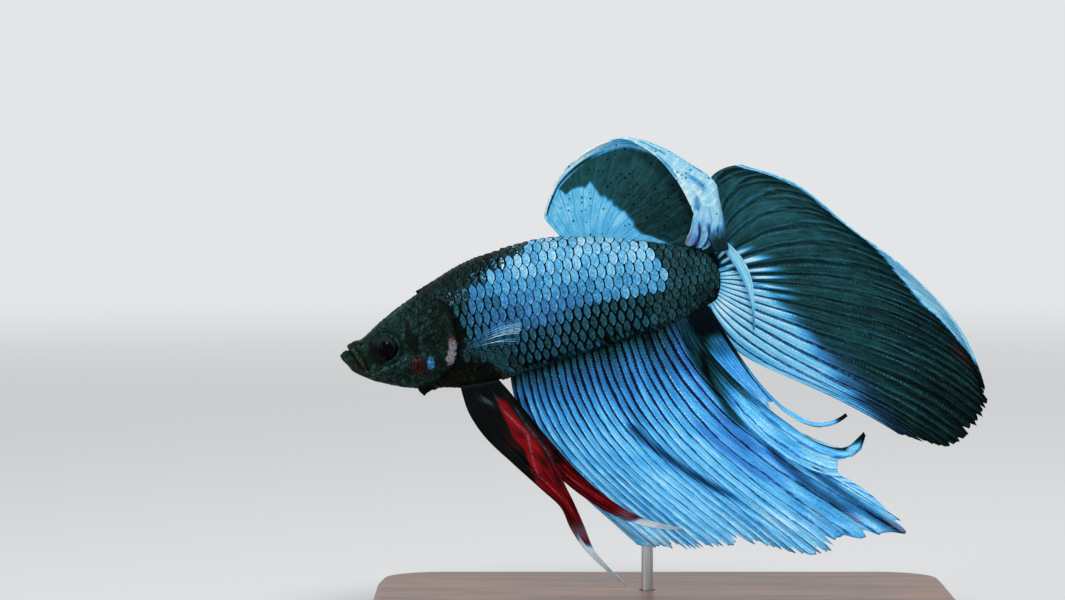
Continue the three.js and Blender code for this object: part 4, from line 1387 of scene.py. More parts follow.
        data = MeshData(points.reshape(-1, 3), [quads], bake[quads.ravel()], local_all[quads.ravel()], values)
        obj = data.build(name, studio.scale_material())
        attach(obj, "root")
        log.info("%s: %d scales", name, count)
        return obj


# ---- eyes
@dataclass(frozen=True)
class Eye:
    """An eyeball set in its socket."""

    side: Side
    rings: int = 40
    around: int = 64

    def build(self, studio: Studio) -> Object:
        """Makes the eyeball.

        It is a flattened sphere over two angles: one out from the pupil's
        middle, one round it, with a slight bulge for the lens.

        Args:
            studio: Where materials come from.

        Returns:
            The eyeball.
        """
        rings, n = np.linspace(0, math.pi, self.rings + 1)[1:-1], self.around
        out, turn = np.meshgrid(rings, np.arange(n) / n * TURN, indexing="ij")
        lens = EYE_LENS * hump(out, 0.55)
        x = EYE_S - BODY_LENGTH + EYE_RADIUS * np.sin(out) * np.cos(turn)
        h = EYE_H + EYE_RADIUS * np.sin(out) * np.sin(turn)
        y = self.side.value * (EYE_Y + (EYE_DEPTH + lens) * np.cos(out))
        pole_y = self.side.value * np.array([EYE_Y + EYE_DEPTH + EYE_LENS, EYE_Y - EYE_DEPTH])
        poles = fish_to_part(np.full(2, EYE_S - BODY_LENGTH), pole_y, np.full(2, EYE_H))
        points = np.concatenate([fish_to_part(x, y, h).reshape(-1, 3), poles])
        faces = [grid_quads(len(rings), n, wrap=True), end_fans(len(rings), n)]
        out, turn = out.ravel(), turn.ravel()
        reach = 0.2 * np.minimum(out, math.pi - out) / 1.6
        flat = np.stack([0.25 + reach * np.cos(turn) + 0.5 * (out > math.pi / 2), 0.5 + reach * np.sin(turn)], -1)
        flat = np.concatenate([flat, [[0.25, 0.5], [0.75, 0.5]]])
        ring = np.stack([turn / TURN, np.sin(np.minimum(out, math.pi / 2))], -1)
        ring = np.concatenate([ring, [[0, 0], [0, 1]]])
        corners = np.concatenate([f.ravel() for f in faces])
        data = MeshData(points, faces, flat[corners], ring[corners])
        name = f"eyeball_{self.side.name.lower()}"
        obj = data.turned_out().build(name, studio.eye_material())
        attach(obj, "root")
        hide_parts(f"eye_{self.side.name.lower()}")
        return obj


# ---- fins
# The least a margin turns over, in degrees, and the least it goes on flat, so
# that no rows of points meet. How much a rolled margin calms the pleats, and
# how deep the pleats of forked rays are beside those of plain ones.
LEAST_ROLL, LEAST_FLAT, ROLL_CALM, FORKED_PLEAT = 8, 0.12, 0.85, 0.7


@dataclass(frozen=True)
class Fin:
    """A fin: a thin closed web through a fan of rays."""

    name: str
    node: str
    rows: tuple
    finish: Finish
    rays: int = 2
    columns: int = 7
    lengthways: int = 56
    roll_rows: int = 0
    flat_rows: int = 0
    thick: float = 0.16
    root_thick: float = 0.34
    pleat: float = 0.1
    fork: float = 0.5
    line_width: float = 0.24
    speckle: float = 0.0
    cover: tuple[float, float] | None = None
    mirror: bool = False
    tears: int = 54
    seed: int = 1

    def reach(self, u: Array) -> Array:
        """How much of each ray's length the web has, 1 for all of it."""
        return np.ones_like(u)

    def fan(self) -> Array:
        """Where across the fan the web's columns of points stand."""
        return np.linspace(0, 1, self.rays * self.columns + 1)

    def ray_place(self, u: Array) -> Array:
        """How many rays lie before each place."""
        return u * self.rays

    def notches(self, u: Array, depth: float, odd: float) -> Array:
        """A torn margin: the web draws back between ray tips, by an amount
        that differs from ray to ray.

        Args:
            u: Place across the fan.
            depth: The usual depth as a share of the ray.
            odd: How much the depth differs.

        Returns:
            The share of length lost.
        """
        rng = np.random.default_rng(self.seed)
        own = depth * np.clip(1 + odd * rng.normal(0, 1, self.tears + 2), 0.15, 3.2)
        place = u * self.tears
        k = np.clip(np.floor(place).astype(int), 0, self.tears)
        inside = np.abs(place - np.floor(place) - 0.5) * 2
        return own[k] * (1 - inside ** 1.4)

    def marks(self, u: Array, v: Array) -> dict[Mark, Array]:
        """The fin's markings at places u across the fan and v along the rays."""
        raise NotImplementedError

    def sway(self, u: Array, v: Array) -> Array:
        """Broad folds, as a shift in millimetres along the web's normal."""
        return np.zeros_like(u)

    def surface(self, u: Array, v: Array) -> Array:
        """The web's middle surface.

        A ray is a cubic curve from its root to its tip that leaves and arrives
        at its own angles. From 1 to 2 the margin rolls over towards the left
        on an arc, and from 2 to 3 it goes on flat.

        Args:
            u: Place across the fan.
            v: Place along the rays, then round the roll, then over the flat.

        Returns:
            Points in the model's frame.
        """
        k = list(np.moveaxis(read_table(self.rows, u), -1, 0))
        rx, rz, tx, tz, leave, arrive, keep, hold, yr, ym, yt, radius, roll, flat = k + [0 * u] * (14 - len(k))
        chord = np.hypot(tx - rx, tz - rz)
        leave, arrive = np.radians(leave), np.radians(arrive)
        t = np.where(v <= 0, -SINK / (3 * keep * chord), np.minimum(v, 1) * self.reach(u))[..., None]
        p0 = np.stack([rx, yr, rz], -1)
        p1 = np.stack([rx + keep * chord * np.cos(leave), 0.4 * yr + 0.6 * ym, rz + keep * chord * np.sin(leave)], -1)
        p2 = np.stack([tx - hold * chord * np.cos(arrive), yt, tz - hold * chord * np.sin(arrive)], -1)
        p3 = np.stack([tx, yt, tz], -1)
        point = (1 - t) ** 3 * p0 + 3 * t * (1 - t) ** 2 * p1 + 3 * t * t * (1 - t) * p2 + t ** 3 * p3
        bent = np.clip(v - 1, 0, 1) * np.radians(np.maximum(roll, LEAST_ROLL))
        past = np.clip(v - 2, 0, 1) * np.maximum(flat, LEAST_FLAT)
        ahead = radius * np.sin(bent) + past * np.cos(bent)
        aside = radius * (1 - np.cos(bent)) + past * np.sin(bent)
        point += np.stack([np.cos(arrive), 0 * rx, np.sin(arrive)], -1) * ahead[..., None]
        point[..., 1] -= aside
        if self.mirror:
            point[..., 1] *= -1
        return point + TAIL_ROOT

    def build(self, studio: Studio) -> Object:
        """Makes the fin as a closed sheet with pleats along its rays.

        Args:
            studio: Where materials come from.

        Returns:
            The fin.
        """
        further = [start + np.arange(1, count + 1) / count
                   for start, count in ((1, self.roll_rows), (2, self.flat_rows)) if count]
        v_list = np.concatenate([[-0.01], np.linspace(0.004, 1, self.lengthways), *further])
        fan = self.fan()
        n = len(fan)
        v, u = np.meshgrid(v_list, fan, indexing="ij")
        middle = self.surface(u, v)
        normal = unit(np.cross(np.gradient(middle, axis=0), np.gradient(middle, axis=1)))
        run = np.clip(v, 0, 1)
        ray = self.ray_place(u)
        wave, fine = np.cos(TURN * (ray - 0.5)), np.cos(2 * TURN * (ray - 0.5))
        forked = rise(run, self.fork - 0.2, self.fork + 0.3)
        pleat = self.pleat * (wave * (1 - forked) + FORKED_PLEAT * fine * forked) * rise(run, 0, 0.15)
        calm = 1 - ROLL_CALM * rise(v, 0.8, 1) if self.roll_rows else 1
        shift = pleat * calm + self.sway(u, run) * calm
        middle += normal * shift[..., None]
        half = 0.5 * (self.root_thick + (self.thick - self.root_thick) * rise(run, 0, 0.5))
        points = np.stack([middle + normal * half[..., None], middle - normal * half[..., None]]).reshape(-1, 3)
        rows = len(v_list)
        count = rows * n
        front = grid_quads(rows, n)
        back = front[:, ::-1] + count
        j, i = np.arange(n - 1), np.arange(rows - 1)
        last = (rows - 1) * n
        walls = np.concatenate([
            np.stack([j, j + 1, j + 1 + count, j + count], -1),
            np.stack([last + j + 1, last + j, last + j + count, last + j + 1 + count], -1),
            np.stack([(i + 1) * n, i * n, i * n + count, (i + 1) * n + count], -1),
            np.stack([i * n + n - 1, (i + 1) * n + n - 1, (i + 1) * n + n - 1 + count, i * n + n - 1 + count], -1),
        ])
        faces = np.concatenate([front, back, walls])
        b, a = np.meshgrid(np.linspace(0, 1, rows), np.linspace(0, 1, n), indexing="ij")
        bake = np.stack([np.stack([start + 0.47 * a, MAP_EDGE + MAP_PART * b], -1) for start in (MAP_EDGE, 0.52)])
        local = np.stack([ray, v], -1).reshape(-1, 2)
        given = {m: 0 for m in (Mark.VIOLET, Mark.RED, Mark.PINK, Mark.WARM, Mark.BEADS)}
        given.update(self.marks(u, v))
        values = {mark: np.tile(np.broadcast_to(value, u.shape).ravel(), 2) for mark, value in given.items()}
        corners = faces.ravel()
        data = MeshData(points, [faces], bake.reshape(-1, 2)[corners], np.tile(local, (2, 1))[corners], values)
        material = studio.fin_material(self)
        obj = data.turned_out().build(self.name, material)
        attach(obj, "root")
        if self.node:
            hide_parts(self.node)
        return obj


@dataclass(frozen=True)
class TailFin(Fin):
    """The great tail fin: dark teal, with a pale wedge along its lower side
    and a white-blue rolled margin. The dark is partly painted shadow of the
    dorsal fin and the rolled margin, and the margin's pale is partly
    painted light."""

    def reach(self, u: Array) -> Array:
        """Torn only along the lower rear margin."""
        torn = rise(u, 0.64, 0.72) * fall(u, 0.95, 1)
        return 1 - self.notches(u, 0.022, 0.7) * torn

    def ray_place(self, u: Array) -> Array:
        """Sets the rays closer in the lower half."""
        return u * self.rays + 11 * np.maximum(u - 0.52, 0)

    def sway(self, u: Array, v: Array) -> Array:
        """Soft folds that run out with the rays."""
        return 0.25 * np.sin(TURN * (u * 5.2 + 0.5 * v)) * rise(v, 0.05, 0.5) * (1 - 0.6 * v)

    def marks(self, u: Array, v: Array) -> dict[Mark, Array]:
        """See Fin.marks.

        Args:
            u: Place across the fan.
            v: Place along the rays.

        Returns:
            Values for each mark.
        """
        bound = np.interp(v, [0, 0.14, 0.22, 0.29, 0.36, 0.43, 0.51, 0.63, 0.78, 0.97, 1],
                          [0.4, 0.585, 0.65, 0.695, 0.748, 0.8, 0.825, 0.863, 0.912, 0.983, 1])
        bound += 0.012 * ripple(u * 30, v * 12, 31, 2.5)
        wedge = rise(u - bound, -0.012, 0.03)
        # The dark field is partly the fin's own dark teal and partly painted shadow of the dorsal fin and the rolled
        # margin.
        dark = 0.355 - 0.065 * rise(u, 0.2, 0.6) - 0.13 * rise(v, 0.45, 1) + 0.02 * ripple(u * 20, v * 4, 32, 3)
        pale = 0.8 - 0.06 * rise(v, 0.3, 0.9) + 0.03 * ripple(u * 40, v * 5, 33, 3)
        tone = dark * (1 - wedge) + pale * wedge
        ray = self.ray_place(u)
        own = np.random.default_rng(34).uniform(0.55, 1, 20)[np.clip(ray.astype(int), 0, 19)]
        own *= np.interp(u, [0.14, 0.25, 0.4, 0.6], [0.05, 0.13, 0.25, 0.33])
        streak = fall(v / own, 0.55, 1) * rise(u, 0.14, 0.2) * rise(np.abs(ray % 1 - 0.5), 0.26, 0.32)
        streak *= rise(v, 0.015, 0.04)
        tone += (0.97 - tone) * 0.95 * streak * (1 - wedge)
        root = wedge * fall(v, 0.08, 0.4)
        tone += 0.09 * root - 0.1 * rise(u, 0.9, 1) * fall(v, 0.2, 0.6)
        tone -= 0.3 * fall(v, 0, 0.05) * (1 - 0.5 * wedge)
        # The rolled margin is pale, partly painted light where it turns over into the light.
        rim_from = np.interp(u, [0, 0.1, 0.16, 0.3, 0.4, 0.458, 0.535, 0.56, 0.6, 0.66],
                             [0.93, 0.915, 0.97, 0.92, 0.84, 0.79, 0.79, 0.86, 0.96, 1.3])
        rim_from += 0.012 * ripple(u * 60, v * 0, 35, 1.7)
        rim = rise(v - rim_from, 0, 0.02) * fall(u, 0.6, 0.63)
        rim_tone = 0.79 + 0.05 * hump(u - 0.47, 0.1) + 0.02 * ripple(u * 50, v * 6, 36, 2)
        edge_line = hump(v - 1, 0.012) * (u < 0.3)
        tone = tone * (1 - rim) + (rim_tone - 0.5 * edge_line) * rim
        violet = 0.3 * hump(u - bound - 0.005, 0.03) * rise(v, 0.25, 0.5) * (1 - rim)
        tone -= 0.22 * hump(u - bound - 0.01, 0.03) * wedge * (1 - rim)
        red = (0.16 * hump((u - 0.63) / 0.02, 1) * hump((v - 0.93) / 0.05, 1)
               * rise(ripple(u * 90, v * 3, 37, 2), 0.1, 0.5))
        tips = rise(v, 0.95, 1) * rise(u, 0.62, 0.7)
        tone -= 0.05 * tips * (1 - wedge)
        lines = 0.1 + 0.38 * wedge * (1 - 0.5 * rise(v, 0.3, 0.8)) + 0.34 * streak
        beads = 0.24 * rise(u, 0.1, 0.3) * (1 - wedge) + fall(v, 0.16, 0.62) * wedge * 0.45 + 0.4 * streak
        return {Mark.TONE: np.clip(tone, 0.02, 0.99), Mark.VIOLET: violet, Mark.RED: red,
                Mark.LINES: lines * (1 - rim), Mark.BEADS: beads * (1 - rim)}


@dataclass(frozen=True)
class Fold:
    """Painted shade along a fold in a web: its path as v and u, its width in u,
    and the stretches of v over which it comes and goes."""

    path: tuple
    width: float
    comes: tuple[float, float]
    goes: tuple[float, float] = (1.5, 2.0)

    def depth(self, u: Array, v: Array) -> Array:
        """How deep in the fold a place is, from 0 to 1."""
        there = rise(v, *self.comes) * fall(v, *self.goes)
        return hump(u - bent_line(v, self.path), self.width) * there


# Painted shade in the anal fin's folds, each with its strength.
FOLD_SHADES = (
    (1, Fold(((0.2, 0.925), (0.28, 0.895), (0.36, 0.868), (0.42, 0.845), (0.53, 0.8), (0.6, 0.784), (0.72, 0.772),
                (0.81, 0.768)), 0.012, (0.18, 0.3), (0.84, 0.92))),
    (1.15, Fold(((0.3, 0.455), (0.41, 0.466), (0.49, 0.487), (0.59, 0.512), (0.69, 0.55)),
                0.023, (0.3, 0.36), (0.66, 0.74))),
    (1, Fold(((0.5, 0.842), (0.6, 0.833), (0.68, 0.818), (0.77, 0.81), (0.87, 0.8), (0.98, 0.8)),
               0.013, (0.5, 0.58))),
    (0.5, Fold(((0.3, 0.79), (0.42, 0.765), (0.55, 0.75)), 0.03, (0.28, 0.38), (0.48, 0.6))),
)
# A softer painted shade, more violet, along one more fold.
SOFT_FOLD_SHADE = Fold(((0.3, 0.7), (0.44, 0.705), (0.58, 0.713), (0.7, 0.72)), 0.016, (0.28, 0.4), (0.6, 0.75))


@dataclass(frozen=True)
class AnalFin(Fin):
    """The long anal fin: sky blue with dark ray lines, beaded at its base, a
    dark field at its rear root, painted shade in its folds, a torn lower
    margin and two curled threads."""

    def reach(self, u: Array) -> Array:
        """Torn along the lower margin and cut back between the threads.

        Args:
            u: Place across the fan.

        Returns:
            The share of each ray's length.
        """
        threads = np.interp(u, [0, 0.6, 0.7, 0.74, 0.78, 0.8, 0.86, 0.885, 0.905, 0.914, 0.917, 0.922, 0.926, 0.935,
                                0.95, 0.965, 0.982, 0.9868, 0.989, 1],
                            [1, 1, 0.985, 0.965, 0.965, 1, 1, 0.9, 0.82, 0.79, 1, 1, 0.49, 0.475, 0.485, 0.5,
                             0.53, 0.54, 1, 1])
        torn = rise(u, 0.02, 0.06) * fall(u, 0.85, 0.87)
        wide = 0.03 * np.clip(ripple(u * 34, 0 * u, 45, 2.6), 0, 1.2)
        return threads - (self.notches(u, 0.018, 0.9) + wide) * torn

    def ray_place(self, u: Array) -> Array:
        """Sets the rays closer where the fin is stretched into threads."""
        return u * self.rays + 62 * np.maximum(u - 0.87, 0)

    def fan(self) -> Array:
        """Closer columns where the threads are."""
        return np.concatenate([np.linspace(0, 0.86, 233)[:-1], np.linspace(0.86, 1, 96)])

    def sway(self, u: Array, v: Array) -> Array:
        """Folds that run down and back with the rays.

        Args:
            u: Place across the fan.
            v: Place along the rays.

        Returns:
            The shift, in millimetres.
        """
        loose = rise(v, 0.15, 0.6)
        free = fall(u, 0.84, 0.9)
        line_b = hump(u - np.interp(v, [0.3, 0.5, 0.7, 1], [0.463, 0.49, 0.547, 0.6]), 0.022)
        line_a = hump(u - np.interp(v, [0.3, 0.5, 0.8, 1], [0.83, 0.79, 0.77, 0.765]), 0.025)
        return (0.3 * np.sin(TURN * (u * 3.4 + 0.35 * v)) - 0.3 * line_b - 0.4 * line_a) * loose * free

    def marks(self, u: Array, v: Array) -> dict[Mark, Array]:
        """See Fin.marks.

        Args:
            u: Place across the fan.
            v: Place along the rays.

        Returns:
            Values for each mark.
        """
        tone = np.interp(v, [0, 0.03, 0.09, 0.2, 0.35, 0.6, 1], [0.2, 0.33, 0.48, 0.65, 0.75, 0.8, 0.83])
        tone += 0.04 * ripple(u * 16, v * 3, 41, 3) + 0.035 * ripple(u * 45, v * 7, 42, 2)
        left = np.interp(v, [0, 0.04, 0.11, 0.18, 0.29, 0.37, 0.5], [0.88, 0.873, 0.858, 0.84, 0.82, 0.8, 0.79])
        dark = rise(u - left, -0.02, 0.012) * (1 - rise(u, 0.92, 0.96) * rise(v, 0.25, 0.38)) * fall(v, 0.32, 0.5)
        # Painted shade in the folds, darker and more violet.
        shade = np.clip(sum(share * fold.depth(u, v) for share, fold in FOLD_SHADES), 0, 1)
        soft = SOFT_FOLD_SHADE.depth(u, v)
        tone = tone - (tone - 0.27) * dark - (tone - 0.35) * 0.95 * shade - 0.12 * soft
        tone -= 0.22 * rise(u, 0.91, 0.94) * fall(v, 0.35, 0.7)
        tip = rise(v * self.reach(u), 0.92, 0.97) * rise(u, 0.9, 0.91)
        tone -= (tone - 0.05) * tip
        violet = (0.22 * fall(v, 0.05, 0.35) * rise(v, 0.02, 0.08) + 0.5 * soft
                  + 0.25 * hump(u - left + 0.03, 0.03) * fall(v, 0.5, 0.8))
        violet += 0.06 * hump(u - 0.72, 0.08) * rise(v, 0.3, 0.5) + 0.3 * shade
        pink = 0.45 * rise(ripple(u * 70, v * 20, 44, 3), 0.75, 1) * rise(v, 0.8, 0.9) * fall(u, 0.8, 0.86)
        threads = rise(u, 0.885, 0.91)
        lines = (0.56 - 0.26 * rise(v, 0.35, 0.95)) * (1 - 0.3 * threads * (1 - dark))
        beads = fall(v, 0.08, 0.5) * (1 - 0.6 * dark) * (1 - threads)
        return {Mark.TONE: np.clip(tone, 0.02, 0.99), Mark.VIOLET: np.clip(violet, 0, 0.9) * (1 - 0.8 * dark),
                Mark.PINK: pink, Mark.LINES: np.maximum(lines - 0.22 * dark, 0.12), Mark.BEADS: beads}


@dataclass(frozen=True)
class DorsalFin(Fin):
    """The sail-like dorsal fin, whose rear half rolls over towards the left
    and shows its pale side. Its dark field is partly painted shade under the
    rolled margin, and its pale parts are partly painted light."""

    def sway(self, u: Array, v: Array) -> Array:
        """A shallow bowl."""
        return 0.1 * np.sin(TURN * u * 3) * v

    def marks(self, u: Array, v: Array) -> dict[Mark, Array]:
        """See Fin.marks.

        Args:
            u: Place across the fan.
            v: Place along the rays.

        Returns:
            Values for each mark.
        """
        # Between the root and the bound the web is pale, partly painted light; beyond it the dark field is partly the
        # fin's own dark teal and partly painted shade under the rolled margin.
        bound = np.interp(u, [0, 0.16, 0.22, 0.263, 0.318, 0.355, 0.383, 0.42, 0.465, 0.598, 0.75, 0.848, 0.945, 1],
                          [1.3, 1.1, 0.74, 0.72, 0.68, 0.613, 0.69, 0.56, 0.46, 0.347, 0.253, 0.127, 0.02, 0])
        bound += 0.012 * ripple(u * 40, v * 0, 51, 3)
        pale = fall(v - bound, -0.02, 0.025)
        dark_tone = 0.33 - 0.09 * rise(u, 0.5, 0.9) + 0.012 * ripple(u * 12, v * 4, 52, 3)
        pale_tone = 0.73 + 0.04 * rise(v, 0, 0.4) + 0.03 * ripple(u * 20, v * 6, 53, 3)
        tone = dark_tone * (1 - pale) + pale_tone * pale
        # The rolled band is pale, partly painted light on its turned side, with darker streaks and a dark line where
        # the roll begins that are partly painted shade.
        rim = (rise(v - np.interp(u, [0, 0.3, 0.5, 0.7, 1], [0.9, 0.925, 0.95, 0.955, 0.95]), 0, 0.02)
               * fall(u, 0.965, 0.985))
        flow = ripple(u * 11, v * 5, 54, 3)
        band = 0.88 + 0.05 * flow - 0.3 * rise(ripple(u * 10, v * 15, 55, 2.6), 0.5, 0.9) + 0.06 * rise(v, 2.5, 3)
        band = band - 0.2 * hump(v - 1.08, 0.05) * rise(u, 0.3, 0.5) - 0.14 * fall(v, 1.2, 2.2) * rise(flow, -0.4, 0.6)
        tone = tone * (1 - rim) + band * rim
        # Painted shade in the curl along the front part of the margin; the roll past it is a little lighter.
        front = rise(u, 0.01, 0.05) * fall(u, 0.34, 0.5)
        fold = hump((v - 0.972) / (0.02 + 0.03 * fall(u, 0.05, 0.2)), 1) * front
        tone = tone - 0.7 * fold + 0.1 * front * rise(v, 1.05, 1.2)
        violet = 0.4 * rise(u, 0.9, 0.97) * rise(v, 1, 1.6) * rise(flow, 0, 0.4)
        pink = (0.04 + 0.25 * rise(ripple(u * 12, v * 6, 56, 2), 0.5, 0.9)) * rim * rise(u, 0.4, 0.6)
        lines = 0.16 * pale - 0.07 * (1 - pale) * (1 - rim)
        return {Mark.TONE: np.clip(tone, 0.02, 0.99), Mark.VIOLET: violet, Mark.PINK: pink, Mark.LINES: lines,
                Mark.BEADS: 0 * u}


@dataclass(frozen=True)
class Streamer(Fin):
    """The thin pale thread that hangs from the dorsal fin's last ray."""

    def marks(self, u: Array, v: Array) -> dict[Mark, Array]:
        """Pale, and darker along its front edge and at its end."""
        tone = 0.84 - 0.2 * rise(v, 0.7, 1) - 0.18 * hump(u, 0.18)
        return {Mark.TONE: tone, Mark.LINES: np.full_like(u, 0.08)}


@dataclass(frozen=True)
class PelvicFin(Fin):
    """A long narrow pelvic fin, red with a black front and a white tip, with painted highlights along its ridges."""

    rays: int = 4
    columns: int = 20
    lengthways: int = 200
    root_thick: float = 0.5
    fork: float = 1.3
    line_width: float = 0.2
    near: bool = True
    edges: tuple = ()

    def surface(self, u: Array, v: Array) -> Array:
        """Follows the outline's two edges where they are given.

        Args:
            u: Place across the fan.
            v: Place along the rays.

        Returns:
            Points in the model's frame.
        """
        point = super().surface(u, v)
        if self.edges:
            edge = read_table(self.edges, v)
            for axis, start in ((0, 0), (2, 1)):
                point[..., axis] = edge[..., start] + (edge[..., start + 2] - edge[..., start]) * u + TAIL_ROOT[axis]
        return point

    def marks(self, u: Array, v: Array) -> dict[Mark, Array]:
        """See Fin.marks.

        Args:
            u: Place across the fan.
            v: Place along the rays.

        Returns:
            Values for each mark.
        """
        patch = ripple(u * 5, v * 13, 61, 3)
        fine = ripple(u * 14, v * 26, 63, 3)
        if self.near:
            low = np.interp(v, [0, 0.07, 0.13, 0.22, 0.3, 0.38, 0.45, 0.52],
                            [0.8, 0.66, 0.58, 0.52, 0.46, 0.32, 0.12, -0.2])
            high = np.interp(v, [0, 0.1, 0.2, 0.3, 0.4, 0.5], [0.72, 0.82, 0.84, 0.86, 0.92, 1.1])
            stripe = (rise(u + 0.03 * fine - low, 0, 0.05) * fall(u + 0.03 * fine - high, -0.04, 0.02)
                      * rise(v, 0.05, 0.1))
            lit_side = 0.4 * rise(v, 0.18, 0.36) * rise(patch, -0.5, 0.5) * rise(u, 0.12, 0.3)
            red = np.maximum(stripe, lit_side * (1 - stripe))
            red *= 1 - 0.8 * hump((v - 0.7 - 0.12 * (u - 0.5)) / 0.07, 1) * rise(u + 0.1 * patch, 0.1, 0.6)
            red *= 1 - 0.6 * rise(patch, 0.5, 0.8) * hump((v - 0.42) / 0.06, 1)
            red *= 1 - 0.5 * fall(u, 0.02, 0.1)
        else:
            red = 1 - rise(u + 0.12 * patch, 0.75, 0.95) * fall(v, 0.45, 0.7)
            red *= 1 - 0.85 * rise(patch + 0.3 * fine, 0.2, 0.5) * hump((v - 0.42) / 0.14, 1)
        tip_from = 0.74 if self.near else 0.78
        tip = rise(v + 0.03 * patch + 0.06 * (0.5 - u), tip_from, tip_from + 0.05)
        # Painted highlights: broken light lines along the ridges, the glint, and a red that is brighter on the ridge,
        # a painted sheen.
        track = u - np.interp(v, [0, 0.12, 0.25, 0.36, 0.44, 0.5, 0.62, 0.7, 1],
                              [0.6, 0.66, 0.8, 0.5, 0.3, 0.4, 0.58, 0.66, 0.6])
        glint_breaks = 0.25 + 0.75 * rise(ripple(u * 3, v * 230, 62, 3), -0.7, 0.4)
        glint = 0.55 * hump(track / 0.024, 1) * glint_breaks * rise(v, 0.08, 0.14) * fall(v, 0.6, 0.72)
        glint += 0.3 * self.near * hump((u - 0.9) / 0.03, 1) * glint_breaks * rise(v, 0.1, 0.16) * fall(v, 0.36, 0.45)
        base = hump(np.hypot((u - 0.55) / 0.22, (v - 0.06) / 0.035), 1) * rise(fine, 0, 0.6)
        ridge_sheen = hump(track / 0.22, 1)
        tone = 0.02 + 0.01 * fine + 0.97 * tip + glint * (1 - tip) + 0.4 * base
        red = np.clip(red * (1 - tip) * (1 - 0.72 * glint) * (1 - 0.6 * base)
                      * (0.24 + 0.44 * ridge_sheen + 0.2 * fine), 0, 1)
        red = np.maximum(red, 0.5 * hump(v - tip_from - 0.015, 0.025) * (1 - 0.5 * tip))
        pink = 0.35 * hump(v - tip_from + 0.015, 0.03) * (1 - tip) + 0.3 * glint
        return {Mark.TONE: np.clip(tone, 0.02, 1), Mark.RED: red, Mark.PINK: pink, Mark.WARM: 0.6 * base,
                Mark.LINES: 0.06 - 0.12 * tip}


@dataclass(frozen=True)
class PectoralFin(Fin):
    """A clear pectoral fin with fine light blue rays."""

    rays: int = 14
    columns: int = 6
    lengthways: int = 30
    pleat: float = 0.04
    fork: float = 0.6
    line_width: float = 0.17
    cover: tuple[float, float] | None = (0.1, 0.75)
    seed: int = 11

    def reach(self, u: Array) -> Array:
        """Slightly uneven."""
        return 1 - self.notches(u, 0.05, 0.5)

    def marks(self, u: Array, v: Array) -> dict[Mark, Array]:
        """See Fin.marks.

        Args:
            u: Place across the fan.
            v: Place along the rays.

        Returns:
            Values for each mark.
        """
        own = ripple(u * 11, 0.3 * v, 71, 2.2)
        bright = fall(u, 0.42, 0.62) * (0.5 + 0.5 * rise(v, 0.1, 0.6)) * rise(own, -1.1, 0.3)
        return {Mark.TONE: np.clip(0.32 + 0.34 * bright + 0.04 * own, 0, 1), Mark.LINES: -0.06 - 0.34 * bright}


@dataclass(frozen=True)
class GatheredCorner(Fin):
    """The rear corner of the dorsal fin, gathered into three hanging folds with painted shade between them."""

    def reach(self, u: Array) -> Array:
        """Drawn up between the folds."""
        return 1 - 0.16 * (0.5 + 0.5 * np.cos(3 * TURN * u)) ** 2 + 0.06 * np.sin(9 * u)

    def sway(self, u: Array, v: Array) -> Array:
        """The folds."""
        return 0.42 * np.cos(3 * TURN * u) * rise(v, -0.2, 0.5)

    def marks(self, u: Array, v: Array) -> dict[Mark, Array]:
        """See Fin.marks.

        Args:
            u: Place across the fan.
            v: Place along the rays.

        Returns:
            Values for each mark.
        """
        # Painted shade: dark blue-violet in the valleys between the folds, deepest low in the first valley.
        valley_shade = (rise(np.cos(3 * TURN * (u + 0.03 * np.sin(7 * v))), 0.35, 0.85) * rise(u, 0.1, 0.2)
                  * rise(v, 0.15, 0.5))
        pink = 0.7 * hump(np.hypot((u - 0.08) / 0.16, (v - 0.92) / 0.2), 1)
        deep = rise(v, 0.45, 0.85) * hump(u - 0.34, 0.13)
        tone = 0.87 + 0.05 * ripple(u * 12, v * 3, 57, 2) - 0.68 * valley_shade - 0.4 * deep
        violet = np.clip(0.2 + 0.5 * valley_shade + 0.8 * deep, 0, 0.9)
        return {Mark.TONE: tone, Mark.VIOLET: violet, Mark.PINK: pink, Mark.LINES: 0.05 + 0 * u}


FINS: tuple[Fin, ...] = (
    DorsalFin("dorsal_web", "dorsal_fin", DORSAL_ROWS, DORSAL_WEB, rays=13, columns=12, lengthways=48, roll_rows=12,
              flat_rows=6, pleat=0.05, fork=1.5, line_width=0.1, speckle=0.35),
    GatheredCorner("dorsal_gather", "", GATHER_ROWS, DORSAL_WEB, rays=3, columns=16, lengthways=24, thick=0.2,
                   root_thick=0.2, pleat=0, fork=1.5, line_width=0.1),
    Streamer("dorsal_thread", "dorsal_streamer", STREAMER_ROWS, DORSAL_WEB, columns=8, lengthways=40, pleat=0.03),
    TailFin("tail_web", "caudal_fin", CAUDAL_ROWS, CAUDAL_WEB, rays=13, columns=14, lengthways=64,
            roll_rows=8, flat_rows=2, fork=0.55, line_width=0.26, tears=72, seed=7),
    AnalFin("anal_web", "anal_fin", ANAL_ROWS, ANAL_WEB, rays=27, columns=10, lengthways=72, pleat=0.11, fork=1.5,
            line_width=0.22, seed=8),
    PelvicFin("pelvic_web_left", "pelvic_fin_left", PELVIC_LEFT_ROWS, PELVIC_WEB, thick=0.24, pleat=0.14,
              edges=PELVIC_LEFT_EDGES),
    PelvicFin("pelvic_web_right", "pelvic_fin_right", PELVIC_RIGHT_ROWS, PELVIC_WEB, thick=0.2, pleat=0.12,
              near=False),
    PectoralFin("pectoral_web_left", "pectoral_fin_left", PECTORAL_ROWS, PECTORAL_WEB),
    PectoralFin("pectoral_web_right", "pectoral_fin_right", PECTORAL_ROWS, PECTORAL_WEB, mirror=True),
)


